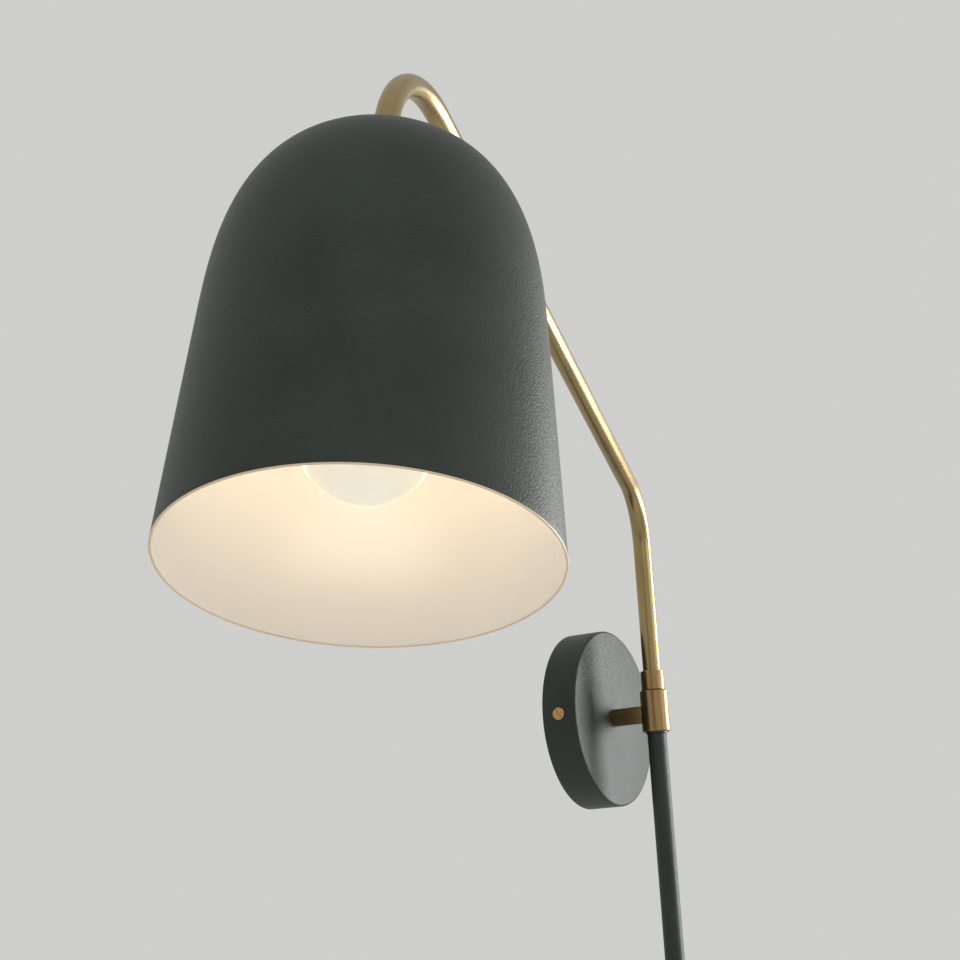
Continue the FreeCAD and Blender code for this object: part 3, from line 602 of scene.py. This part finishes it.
def turned(profile: Array, seat: Array, finish: Sequence[int] | int, sides: int) -> Surface:
    """Closed outline of (radius, height) points turned about the seat's third axis.

    A point is seat origin + radius (cos a first axis + sin a second axis) + height third axis.
    The surface map is the distance along the outline and the distance round it at its widest.

    Args:
        profile: Outline points, the last joining the first, running so that faces point out.
        seat: 4 by 3 array: origin and the three axes.
        finish: Material number of each span of the outline, or of them all.
        sides: Faces round the axis.

    Returns:
        The surface.
    """
    loop = np.vstack([profile, profile[:1]])
    points = seat[0] + loop[:, :1, None] * spokes(seat, sides) + loop[:, 1:, None] * seat[3]
    around = np.linspace(0, 2 * np.pi, sides + 1) * loop[:, 0].max()
    chart = np.stack(np.broadcast_arrays(distances(loop)[:, None], around[None, :]), -1)
    surface = Surface()
    numbers = [finish] * len(profile) if isinstance(finish, int) else list(finish)
    start = 0
    for i in range(1, len(numbers) + 1):
        if i == len(numbers) or numbers[i] != numbers[start]:
            surface.grid(points[start : i + 1], chart[start : i + 1], numbers[start])
            start = i
    return surface


def rounded(corners: Sequence[Corner]) -> Array:
    """Closed outline with rounded corners.

    A corner of fillet f becomes a curve between the two points at distance f along its sides:
    (1 - t)^2 first + 2 t (1 - t) corner + t^2 second, for t from 0 to 1.

    Args:
        corners: Radius, height and fillet of each corner.

    Returns:
        The outline's points as (radius, height).
    """
    places = np.array([c[:2] for c in corners], float)
    out: list[Array] = []
    for i, (_, _, fillet) in enumerate(corners):
        here, before, after = places[i], places[i - 1], places[(i + 1) % len(corners)]
        if fillet <= 0:
            out.append(here[None])
            continue
        a = here + (before - here) / np.linalg.norm(before - here) * fillet
        b = here + (after - here) / np.linalg.norm(after - here) * fillet
        t = np.linspace(0, 1, CORNER_POINTS)[:, None]
        out.append((1 - t) ** 2 * a + 2 * t * (1 - t) * here + t**2 * b)
    return np.vstack(out)


def upright(x: float, y: float, z: float) -> Array:
    """Seat with its third axis along +Z."""
    return np.array([[x, y, z], [1, 0, 0], [0, 1, 0], [0, 0, 1]], float)


def outward(x: float, y: float, z: float) -> Array:
    """Seat with its third axis out of the wall, along -Y."""
    return np.array([[x, y, z], [1, 0, 0], [0, 0, 1], [0, -1, 0]], float)


def dress(
    piece: bpy.types.Object,
    body: str,
    nodes: Sequence[str],
    finishes: Sequence[bpy.types.Material],
) -> None:
    """Give a piece its finishes and body, hide the nodes it stands for, and report it.

    Args:
        piece: The piece.
        body: The body that carries it.
        nodes: The CAD nodes that it replaces.
        finishes: Its materials, by material number.
    """
    for material in finishes:
        piece.data.materials.append(material)
    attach(piece, body)
    if nodes:
        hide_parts(*nodes)
    LOG.info("%s: %d faces on %s for %s", piece.name, len(piece.data.polygons), body, ", ".join(nodes))


def fix_normals(piece: bpy.types.Object) -> None:
    """Point all faces of a closed piece outwards.

    Args:
        piece: The piece.
    """
    shape = bmesh.new()
    shape.from_mesh(piece.data)
    bmesh.ops.remove_doubles(shape, verts=shape.verts, dist=WELD)
    bmesh.ops.recalc_face_normals(shape, faces=shape.faces)
    shape.to_mesh(piece.data)
    shape.free()


# ---- the lamp's shape -----------------------------------------------------------------------


@dataclass
class ArmPlan:
    """Centre line of the arm, in the arm's own upright plane, and where it stands at rest."""

    offset: float = 55.0 * MM
    swing: float = math.radians(-77.5)
    rise: float = math.radians(15.6)
    corner: float = 146.0 * MM
    reach: float = 488.0 * MM
    drop: float = 80.0 * MM
    bends: tuple[float, float] = (40.0 * MM, 70.0 * MM)
    step: float = 0.0025
    least_run: int = 2
    least_bend: int = 8

    def way(self) -> Array:
        """Level direction from the swivel axis towards the shade."""
        return np.array([math.sin(self.swing), -math.cos(self.swing), 0.0])

    def across(self) -> Array:
        """Level direction square to the arm's plane."""
        return np.array([math.cos(self.swing), math.sin(self.swing), 0.0])

    def point(self, out: Any, up: Any) -> Array:
        """Points of the arm's plane, out from the swivel axis and up."""
        flat = np.asarray(out)[..., None] * self.way() + np.asarray(up)[..., None] * UP
        return flat + np.array([0, -self.offset, 0])

    def upper(self) -> float:
        """Height of the upper corner, where the rising run and the drop meet."""
        return self.corner + self.reach * math.tan(self.rise)

    def shade_axis(self) -> Array:
        """Direction of the shade's axis, from its top to its mouth."""
        return self.way() * math.sin(self.rise) - np.array([0, 0, math.cos(self.rise)])

    def shade_top(self) -> Array:
        """Top of the shade on the arm's centre line."""
        out = self.reach + self.drop * math.sin(self.rise)
        return self.point(out, self.upper() - self.drop * math.cos(self.rise))

    def shade_seat(self) -> Array:
        """Seat at the shade's top with its third axis down the shade.

        Returns:
            4 by 3 array: origin and the three axes.
        """
        axis = self.shade_axis()
        side = self.across()
        return np.array([self.shade_top(), side, np.cross(axis, side), axis])

    def line(self, start: float, past: float) -> tuple[Array, Array]:
        """Centre line as points and directions.

        Straight runs and tangent arcs: a bend of radius r that turns by a covers r tan(a / 2) of
        both its runs, and its points are centre + r times a unit vector that turns evenly.

        Args:
            start: Height on the swivel axis where the line begins.
            past: Distance past the shade's top where it ends.

        Returns:
            Points and unit directions along the line.
        """
        nodes = [np.array([0, start]), np.array([0, self.corner]), np.array([self.reach, self.upper()])]
        fall = np.array([math.sin(self.rise), -math.cos(self.rise)])
        nodes.append(nodes[2] + fall * (self.drop + past))
        flat, last = [], nodes[0]
        for before, corner, after, radius in zip(nodes, nodes[1:], nodes[2:], self.bends):
            into = (corner - before) / np.linalg.norm(corner - before)
            out = (after - corner) / np.linalg.norm(after - corner)
            turn = math.acos(float(into @ out))
            back = radius * math.tan(turn / 2)
            begin, inward = corner - into * back, (out - into) / np.linalg.norm(out - into)
            centre = corner + inward * radius / math.cos(turn / 2)
            count = max(self.least_run, int(np.linalg.norm(begin - last) / self.step))
            runs = np.linspace(0, 1, count, endpoint=False)[:, None]
            flat.append(last + (begin - last) * runs)
            count = max(self.least_bend, int(radius * turn / self.step))
            bend = np.linspace(0, turn, count, endpoint=False)[:, None]
            spoke = (begin - centre) / radius
            flat.append(centre + radius * (np.cos(bend) * spoke + np.sin(bend) * into))
            last = corner + out * back
        count = max(self.least_run, int(np.linalg.norm(nodes[-1] - last) / self.step) + 1)
        flat.append(last + (nodes[-1] - last) * np.linspace(0, 1, count)[:, None])
        path = np.vstack(flat)
        way = np.gradient(path, axis=0)
        way /= np.linalg.norm(way, axis=1)[:, None]
        points = self.point(path[:, 0], path[:, 1])
        return points, way[:, :1] * self.way() + way[:, 1:] * UP


@dataclass
class Gooseneck:
    """Bent brass tube of the arm, open at both ends."""

    plan: ArmPlan
    brass: bpy.types.Material
    radius: float = 6.0 * MM
    wall: float = 1.0 * MM
    foot: float = 17.6 * MM
    head: float = -2.5 * MM
    sides: int = 64

    def skin(self, points: Array, ways: Array, radius: float) -> tuple[Array, Array]:
        """Ring carried along the line: point + radius (cos a across + sin a up), up square to both.

        Args:
            points: Points of the line.
            ways: Unit directions of the line.
            radius: Radius of the ring.

        Returns:
            Points of the skin and their surface coordinates.
        """
        side = self.plan.across()
        up = np.cross(ways, side)
        angle = np.linspace(0, 2 * np.pi, self.sides, endpoint=False)
        ring = np.cos(angle)[None, :, None] * side + np.sin(angle)[None, :, None] * up[:, None, :]
        around = np.linspace(0, 2 * np.pi, self.sides + 1) * radius
        chart = np.stack(np.broadcast_arrays(distances(points)[:, None], around[None]), -1)
        return points[:, None] + radius * ring, chart

    def build(self) -> None:
        """Make the tube: outer skin, inner skin and the two end rings."""
        points, ways = self.plan.line(self.foot, self.head)
        outer, chart = self.skin(points, ways, self.radius)
        inner, inner_chart = self.skin(points, ways, self.radius - self.wall)
        surface = Surface().sleeve(outer, inner, chart, inner_chart, flip=True)
        dress(surface.build("gooseneck"), ARM, ["gooseneck_tube"], [self.brass])


class ShadeSkin(IntEnum):
    """Material numbers of the shade."""

    COAT = 0
    LINING = 1
    # the rim's finish: an orange-cream colour that is painted warm light, the bulb's glow on the edge
    PAINTED_WARM_RIM = 2


@dataclass
class Shade:
    """Spun bell shade: dark powder coat outside, warm white lining, and a rim coloured with painted warm
    light.
    """

    plan: ArmPlan
    coat: bpy.types.Material
    lining: bpy.types.Material
    # rim material: painted warm light, an orange-cream colour standing for the bulb's glow that the edge
    # catches
    edge: bpy.types.Material
    rim_radius: float = 85.0 * MM
    length: float = 205.0 * MM
    dome: float = 100.0 * MM
    power: float = 3.0
    flare: float = math.radians(4.6)
    wall: float = 1.2 * MM
    hole: float = 5.0 * MM
    seat_radius: float = 12.0 * MM
    seat_margin: float = 2.0 * MM
    dome_start: float = 0.2
    dome_points: int = 46
    side_points: int = 26
    rim_points: int = 9
    sides: int = 224

    def outline(self, inset: float) -> Array:
        """Outline from the seat to the mouth, at a distance inside the skin.

        height = depth (1 - cos(a)^(2/p)) and radius = cone sin(a)^(2/p), where p is the dome's
        power and cone is the radius of the flared wall at that height; then the flared wall.

        Args:
            inset: Distance inside the outer skin.

        Returns:
            The outline's points as (radius, distance down the axis).
        """
        angle = np.linspace(self.dome_start, 1.0, self.dome_points) * np.pi / 2
        depth = self.dome - inset
        height = depth * (1 - np.cos(angle) ** (2 / self.power))
        height[-1] = depth
        cone = self.rim_radius - (self.length - inset - height) * math.tan(self.flare) - inset
        curve = np.stack([cone * np.sin(angle) ** (2 / self.power), inset + height], -1)
        curve = curve[curve[:, 0] > self.seat_radius + self.seat_margin]
        side = np.linspace(curve[-1], [self.rim_radius - inset, self.length], self.side_points)[1:]
        return np.vstack([[[self.hole, inset], [self.seat_radius, inset]], curve, side])

    def build(self) -> None:
        """Make the shade with a rounded rim between coat and lining."""
        outside, inside = self.outline(0), self.outline(self.wall)
        half = self.wall / 2
        turn = np.linspace(0, np.pi, self.rim_points)
        centre = np.array([self.rim_radius - half, self.length - half])
        rim = centre + half * np.stack([np.cos(turn), np.sin(turn)], -1)
        outside, inside = (skin[skin[:, 1] < self.length - half] for skin in (outside, inside))
        profile = np.vstack([outside, rim, inside[::-1]])
        finish = [ShadeSkin.COAT] * len(outside) + [ShadeSkin.PAINTED_WARM_RIM] * (len(rim) - 1)
        finish += [ShadeSkin.LINING] * (len(inside) + 1)
        piece = turned(profile, self.plan.shade_seat(), finish, self.sides).build("bell_shade")
        dress(piece, ARM, ["shade"], [self.coat, self.lining, self.edge])


@dataclass
class Bulb:
    """Opal bulb: pear-shaped glass in a screw cap with a rolled thread."""

    plan: ArmPlan
    glass: bpy.types.Material
    nickel: bpy.types.Material
    tip: float = 66.95 * MM
    length: float = 108.0 * MM
    radius: float = 30.0 * MM
    neck: float = 13.6 * MM
    skin: float = 1.0 * MM
    cap_radius: float = 13.0 * MM
    cap_start: float = 71.15 * MM
    cap_length: float = 24.0 * MM
    pitch: float = 3.6 * MM
    thread: float = 0.5 * MM
    neck_parts: float = 3.0
    throat_points: int = 14
    ball_points: int = 40
    sides: int = 96
    cap_rows: int = 97
    cap_sides: int = 64
    cap_map_width: float = 0.08

    def outline(self, inset: float) -> Array:
        """Glass outline at a distance inside its skin: neck, throat arc and round end.

        The throat is the arc that leaves the neck along the axis and touches the end's circle.

        Args:
            inset: Distance inside the outer skin.

        Returns:
            The outline's points as (radius, distance down the shade's axis).
        """
        end = self.radius - inset
        neck = self.neck - inset
        start = self.cap_start + self.cap_length
        centre = self.tip + self.length - self.radius
        throat_start = start + (centre - start) / self.neck_parts
        rise = centre - throat_start
        throat = (rise**2 + neck**2 - end**2) / (2 * (end - neck))
        middle = neck + throat
        touch = math.atan2(rise, middle)
        bend = np.linspace(0, touch, self.throat_points)
        arc = np.stack([middle - throat * np.cos(bend), throat_start + throat * np.sin(bend)], -1)
        turn = np.linspace(math.pi / 2 + touch, 0, self.ball_points)[1:]
        ball = np.stack([end * np.sin(turn), centre + end * np.cos(turn)], -1)
        ball[-1, 0] = 0.0
        return np.vstack([[[neck, start]], arc, ball])

    def build(self) -> None:
        """Make the glass, with its map's first number running 0 to 1 from neck to foot, and the cap."""
        outside, inside = self.outline(0), self.outline(self.skin)
        profile = np.vstack([outside, inside[::-1]])
        glass = turned(profile, self.plan.shade_seat(), 0, self.sides)
        run = distances(outside)[-1]
        for chart in glass.maps:
            chart[..., 0] = np.clip(chart[..., 0] / run, 0, 1)
        dress(glass.build("bulb_opal"), ARM, ["bulb_glass"], [self.glass])
        self.build_cap()

    def build_cap(self) -> None:
        """Make the screw cap.

        Its radius is cap radius - thread (1 - cos(2 pi height / pitch - angle)) / 2, faded to the
        full radius at both ends; the bore is plain.
        """
        seat = self.plan.shade_seat()
        height = np.linspace(0, self.cap_length, self.cap_rows)[:, None]
        angle = np.linspace(0, 2 * np.pi, self.cap_sides, endpoint=False)[None, :]
        fade = np.clip(np.minimum(height, self.cap_length - height) / self.pitch, 0, 1)
        dip = self.thread * (1 - np.cos(2 * np.pi * height / self.pitch - angle)) / 2 * fade
        radius = self.cap_radius - dip
        ring = spokes(seat, self.cap_sides)
        axis = (self.cap_start + height)[..., None] * seat[3]
        outer = seat[0] + radius[..., None] * ring + axis
        inner = seat[0] + (self.cap_radius - 2 * self.thread) * ring + axis
        around = np.linspace(0, self.cap_map_width, self.cap_sides + 1)[None]
        chart = np.stack(np.broadcast_arrays(height, around), -1)
        surface = Surface().sleeve(outer, inner, chart, chart)
        dress(surface.build("bulb_screw_cap"), ARM, ["bulb_cap"], [self.nickel])


@dataclass
class WallPlate:
    """Round canopy with a rounded front edge, and its slotted side screws."""

    coat: bpy.types.Material
    brass: bpy.types.Material
    radius: float = 60.0 * MM
    depth: float = 24.5 * MM
    wall: float = 1.2 * MM
    edge: float = 2.0 * MM
    hole: float = 5.05 * MM
    head_radius: float = 4.1 * MM
    head_height: float = 1.3 * MM
    screw_radius: float = 2.0 * MM
    screw_length: float = 8.0 * MM
    slot_width: float = 1.0 * MM
    slot_depth: float = 0.7 * MM
    slot_turn: float = math.radians(35)
    slot_edge: float = 0.01 * MM
    crown: float = 0.3 * MM
    lip: float = 0.3 * MM
    hole_edge: float = 0.2 * MM
    sides: int = 200
    screw_sides: int = 40
    head_columns: int = 9
    head_rows: int = 25

    def build(self) -> None:
        """Make the canopy and both screws."""
        r, d, w = self.radius, self.depth, self.wall
        outline = [
            (r, 0, self.lip),
            (r, d, self.edge),
            (self.hole, d, self.hole_edge),
            (self.hole, d - w, self.hole_edge),
            (r - w, d - w, self.edge - w),
            (r - w, 0, self.lip),
        ]
        piece = turned(rounded(outline), outward(0, 0, 0), 0, self.sides).build("canopy_cup")
        dress(piece, WALL_SIDE, ["canopy"], [self.coat])
        self.build_screws()

    def screw(self, side: float) -> Surface:
        """One slotted screw whose axis points out sideways.

        The head is a grid of (distance across the slot, distance along it) pressed onto a shallow
        crown: height = crown (1 - (r / head radius)^2), less the slot's depth where the distance
        across the slot is under half its width. A plain shank stands behind it.

        Args:
            side: 1 for the canopy's +X side, -1 for the other.

        Returns:
            The screw's surface.
        """
        place = [side * self.radius, -self.depth / 2, 0]
        seat = np.array([place, [0, 1, 0], [0, 0, side], [side, 0, 0]], float)
        c, s = math.cos(self.slot_turn), math.sin(self.slot_turn)
        seat[1:3] = np.array([[c, s], [-s, c]]) @ seat[1:3]
        half, edge = self.slot_width / 2, self.slot_edge
        inner = np.array([-half, -half + edge, half - edge, half])
        outer = np.linspace(half, self.head_radius, self.head_columns)[1:]
        across = np.concatenate([-outer[::-1], inner, outer])
        reach = np.sqrt(np.maximum(self.head_radius**2 - across**2, 0))
        along = np.linspace(-1, 1, self.head_rows)[None, :] * reach[:, None]
        wide = np.broadcast_to(across[:, None], along.shape)
        crown = self.crown * (1 - (wide**2 + along**2) / self.head_radius**2)
        floor = np.isin(np.arange(len(across)), [len(outer) + 1, len(outer) + 2])[:, None]
        top = self.head_height - self.crown + crown - self.slot_depth * floor
        face = seat[0] + wide[..., None] * seat[1] + along[..., None] * seat[2] + top[..., None] * seat[3]
        chart = np.stack([wide, along], -1)
        surface = Surface().grid(face, chart, closed=False)
        brink = np.vstack([face[:, -1], face[::-1, 0][1:-1]])
        lower = brink - ((brink - seat[0]) @ seat[3])[:, None] * seat[3]
        strip = np.stack([brink, lower])
        rim = np.zeros((2, len(brink) + 1, 2))
        rim[..., 0] = np.linspace(0, 2 * np.pi * self.head_radius, len(brink) + 1)
        rim[1, :, 1] = self.head_height
        surface.grid(strip, rim)
        radius, length = self.screw_radius, self.screw_length
        shank = np.array([[self.head_radius, 0], [radius, 0], [radius, -length], [0, -length]])
        points = seat[0] + shank[:, :1, None] * spokes(seat, self.screw_sides) + shank[:, 1:, None] * seat[3]
        return surface.grid(points, np.zeros((len(shank), self.screw_sides + 1, 2)), flip=True)

    def build_screws(self) -> None:
        """Make both canopy screws as one piece of two shells."""
        pair = self.screw(-1.0).join(self.screw(1.0))
        piece = pair.build("canopy_side_screws")
        fix_normals(piece)
        dress(piece, WALL_SIDE, ["canopy_screws"], [self.brass])


@dataclass
class LowerTube:
    """Painted tube below the tee and the plug in its end."""

    plan: ArmPlan
    coat: bpy.types.Material
    radius: float = 6.5 * MM
    bore: float = 5.5 * MM
    top: float = -13.7 * MM
    end: float = -260.0 * MM
    edge: float = 0.25 * MM
    top_edge: float = 0.35 * MM
    plug_head: float = 2.0 * MM
    plug_length: float = 10.0 * MM
    plug_edge: float = 0.8 * MM
    plug_seam: float = 0.2 * MM
    plug_tip: float = 0.3 * MM
    sides: int = 72

    def build(self) -> None:
        """Make the tube and its plug."""
        r, b, end, edge = self.radius, self.bore, self.end, self.edge
        tube = [(r, end, edge), (r, self.top, self.top_edge), (b, self.top, edge), (b, end, edge)]
        self.piece("lower_handle_tube", "lower_tube", tube)
        foot, tip = end - self.plug_head, end + self.plug_length
        plug = [(0, foot, 0), (r, foot, self.plug_edge), (r, end, self.plug_seam)]
        plug += [(b, end, 0), (b, tip, self.plug_tip), (0, tip, 0)]
        self.piece("lower_tube_plug", "end_plug", plug)

    def piece(self, name: str, node: str, outline: Sequence[Corner]) -> None:
        """Turn an outline about the swivel axis into a painted piece.

        Args:
            name: The piece's name.
            node: The CAD node that it replaces.
            outline: Corners of its outline.
        """
        seat = upright(0, -self.plan.offset, 0)
        piece = turned(rounded(outline), seat, 0, self.sides).build(name)
        fix_normals(piece)
        dress(piece, ARM, [node], [self.coat])


@dataclass(frozen=True)
class SoftLamp:
    """Rectangular soft lamp: where it stands, how wide and high it is, and its watts."""

    name: str
    place: Triple
    size: tuple[float, float]
    power: float


@dataclass
class Studio:
    """Pale floor, pale backdrop colour, soft lamps and the camera."""

    floor_height: float = -1.30
    floor_reach: float = 14.0
    pale: Colour = rgb(0.62, 0.62, 0.61)
    floor_lines: int = 9
    sensor: float = 36.0
    focal_pixels: float = 1918.36
    picture_pixels: float = 960.0
    near: float = 0.02
    eye: Triple = (-1.19486, -0.592119, -0.14342)
    azimuth: float = math.radians(-61.008)
    elevation: float = math.radians(13.5)
    roll: float = math.radians(-3.44)
    target: Triple = (-0.35, -0.12, 0.10)
    lamps: tuple[SoftLamp, ...] = (
        SoftLamp("key", (0.78, -0.75, 0.02), (0.45, 0.9), 17.0),
        SoftLamp("front", (0.10, -1.90, 0.70), (0.8, 0.8), 4.0),
        SoftLamp("fill", (-1.9, -1.3, 1.3), (1.4, 1.4), 4.0),
    )

    def build(self, pale: bpy.types.Material) -> None:
        """Make the floor, lamps, world and camera.

        Args:
            pale: The floor's material.
        """
        across = np.linspace(-self.floor_reach, self.floor_reach, self.floor_lines)
        x, y = np.meshgrid(across, across, indexing="ij")
        points = np.stack([x, y, np.full_like(x, self.floor_height)], -1)
        floor = Surface().grid(points, np.stack([x, y], -1), closed=False).build("floor")
        floor.data.materials.append(pale)
        floor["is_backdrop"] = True
        for soft in self.lamps:
            self.lamp(soft)
        self.world()
        self.camera()

    def lamp(self, soft: SoftLamp) -> None:
        """Set up a lamp that faces the target.

        Args:
            soft: The lamp.
        """
        light = bpy.data.lights.new(soft.name, "AREA")
        light.shape = "RECTANGLE"
        light.size, light.size_y = soft.size
        light.energy = soft.power
        lamp = bpy.data.objects.new(soft.name, light)
        lamp.location = soft.place
        lamp.rotation_euler = (Vector(self.target) - Vector(soft.place)).to_track_quat("-Z", "Y").to_euler()
        bpy.context.scene.collection.objects.link(lamp)

    def world(self) -> None:
        """One even pale colour all round, which is backdrop and light alike."""
        world = bpy.data.worlds.new("studio")
        bpy.context.scene.world = world
        world.use_nodes = True
        tree = world.node_tree
        tree.nodes.clear()
        light = tree.nodes.new("ShaderNodeBackground")
        light.inputs["Color"].default_value = self.pale
        out = tree.nodes.new("ShaderNodeOutputWorld")
        tree.links.new(light.outputs[0], out.inputs[0])

    def camera(self) -> None:
        """Camera at the photograph's viewing angle, from azimuth, elevation and roll."""
        a, e, t = self.azimuth, self.elevation, self.roll
        level = Vector((-math.sin(a), math.cos(a), 0))
        right = Vector((math.cos(a), math.sin(a), 0))
        high = Vector((0, 0, 1))
        ahead = level * math.cos(e) + high * math.sin(e)
        above = high * math.cos(e) - level * math.sin(e)
        side = right * math.cos(t) + above * math.sin(t)
        top = above * math.cos(t) - right * math.sin(t)
        data = bpy.data.cameras.new("camera")
        data.sensor_width = self.sensor
        data.lens = self.sensor * self.focal_pixels / self.picture_pixels
        data.clip_start = self.near
        camera = bpy.data.objects.new("camera", data)
        camera.matrix_world = Matrix((
            (side.x, top.x, -ahead.x, self.eye[0]),
            (side.y, top.y, -ahead.y, self.eye[1]),
            (side.z, top.z, -ahead.z, self.eye[2]),
            (0, 0, 0, 1),
        ))
        bpy.context.scene.collection.objects.link(camera)
        bpy.context.scene.camera = camera


class Workshop:
    """All finishes of the lamp, and the nodes that keep their own shape."""

    def __init__(self) -> None:
        """Make every material once."""
        warm, brown = rgb(0.44, 0.285, 0.135), rgb(0.29, 0.175, 0.08)
        steel, dark = rgb(0.60, 0.60, 0.58), rgb(0.42, 0.42, 0.42)
        finishes = [
            PowderCoat(),
            Brass("aged_brass", rgb(0.42, 0.315, 0.150), rgb(0.26, 0.19, 0.085), 0.31),
            Brass("turned_brass", warm, brown, 0.30, surface=False, lengthwise=(1.0, 1.0, 0.04)),
            Brass("stub_brass", warm, brown, 0.30, surface=False, lengthwise=(1.0, 0.04, 1.0)),
            Brass("screw_brass", rgb(0.66, 0.40, 0.18), rgb(0.45, 0.25, 0.10), 0.32, surface=False),
            ShadeLining(),
            OpalGlow(),
            # painted warm light on the shade's rim: orange-cream for the bulb's glow on the edge, not the
            # enamel's own colour
            Plain("painted_warm_rim_light", rgb(0.82, 0.66, 0.47), rgb(0.77, 0.60, 0.41), 0.35, depth=0.000005),
            Plain("zinc_steel", steel, dark, 0.34, 1.0, stretch=(0.2, 1, 1)),
            Plain("spring_steel", rgb(0.13, 0.13, 0.13), rgb(0.08, 0.08, 0.085), 0.38, 1.0),
            Plain("black_steel", rgb(0.05, 0.05, 0.05), rgb(0.03, 0.03, 0.03), 0.45, 0.6),
            Plain("nickel", rgb(0.68, 0.66, 0.62), rgb(0.50, 0.49, 0.46), 0.22, 1.0),
            Plain("black_acetal", rgb(0.022, 0.022, 0.022), rgb(0.012, 0.012, 0.012), 0.5),
            Plain("white_plastic", rgb(0.80, 0.78, 0.73), rgb(0.72, 0.70, 0.65), 0.42),
            Plain("white_enamel", rgb(0.82, 0.80, 0.75), rgb(0.75, 0.73, 0.68), 0.35),
            Plain("glazed_porcelain", rgb(0.84, 0.82, 0.78), rgb(0.78, 0.76, 0.71), 0.12),
            Plain("black_vitrite", rgb(0.02, 0.02, 0.025), rgb(0.01, 0.01, 0.015), 0.08),
            Plain("clear_glass", rgb(0.75, 0.80, 0.78), rgb(0.66, 0.72, 0.70), 0.06),
            Plain("phosphor", rgb(0.90, 0.68, 0.16), rgb(0.82, 0.58, 0.10), 0.5),
            Plain("white_sleeve", rgb(0.80, 0.79, 0.75), rgb(0.70, 0.69, 0.66), 0.6),
            Plain("earth_sleeve", rgb(0.55, 0.62, 0.05), rgb(0.06, 0.30, 0.05), 0.5, scale=160.0),
            Plain("floor_pale", rgb(0.84, 0.84, 0.83), rgb(0.82, 0.82, 0.81), 0.8, scale=12.0, depth=0.0001),
        ]
        self.made = {finish.name: finish.build() for finish in finishes}

    def __getitem__(self, name: str) -> bpy.types.Material:
        """Material by name."""
        return self.made[name]

    def dress_nodes(self, frame: dict[str, Any]) -> None:
        """Give each node that keeps its own shape the finish of its slot, or one of its own.

        Args:
            frame: The frame, as loaded.
        """
        own = {"stub_arm": "stub_brass", "earth_screw": "screw_brass", "earth_washer": "screw_brass"}
        for part in frame["record"]["subparts"]:
            node = frame["nodes"][part["node"]]
            if node.hide_render:
                continue
            finish = own.get(part["node"], part["material_slot"])
            node.data.materials.clear()
            node.data.materials.append(self[finish])
            LOG.info("%s keeps its shape, in %s", part["node"], finish)


def corners(box: tuple[Vector, Vector]) -> list[list[float]]:
    """Lowest and highest corner as plain lists."""
    return [[float(v) for v in corner] for corner in box]


def main() -> None:
    """Build the lamp and its studio."""
    logging.basicConfig(level=logging.INFO, format="%(name)s: %(message)s")
    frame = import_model()
    cad_box = corners(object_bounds())
    workshop = Workshop()
    plan = ArmPlan()
    Gooseneck(plan, workshop["aged_brass"]).build()
    Shade(plan, workshop["green_powder_coat"], workshop["white_lining"], workshop["painted_warm_rim_light"]).build()
    Bulb(plan, workshop["opal_glass"], workshop["nickel"]).build()
    WallPlate(workshop["green_powder_coat"], workshop["screw_brass"]).build()
    LowerTube(plan, workshop["green_powder_coat"]).build()
    workshop.dress_nodes(frame)
    Studio().build(workshop["floor_pale"])
    bpy.context.scene.view_settings.view_transform = "Standard"
    {"cad": cad_box, "visual": corners(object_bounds())}


if __name__ == "__main__":
    main()
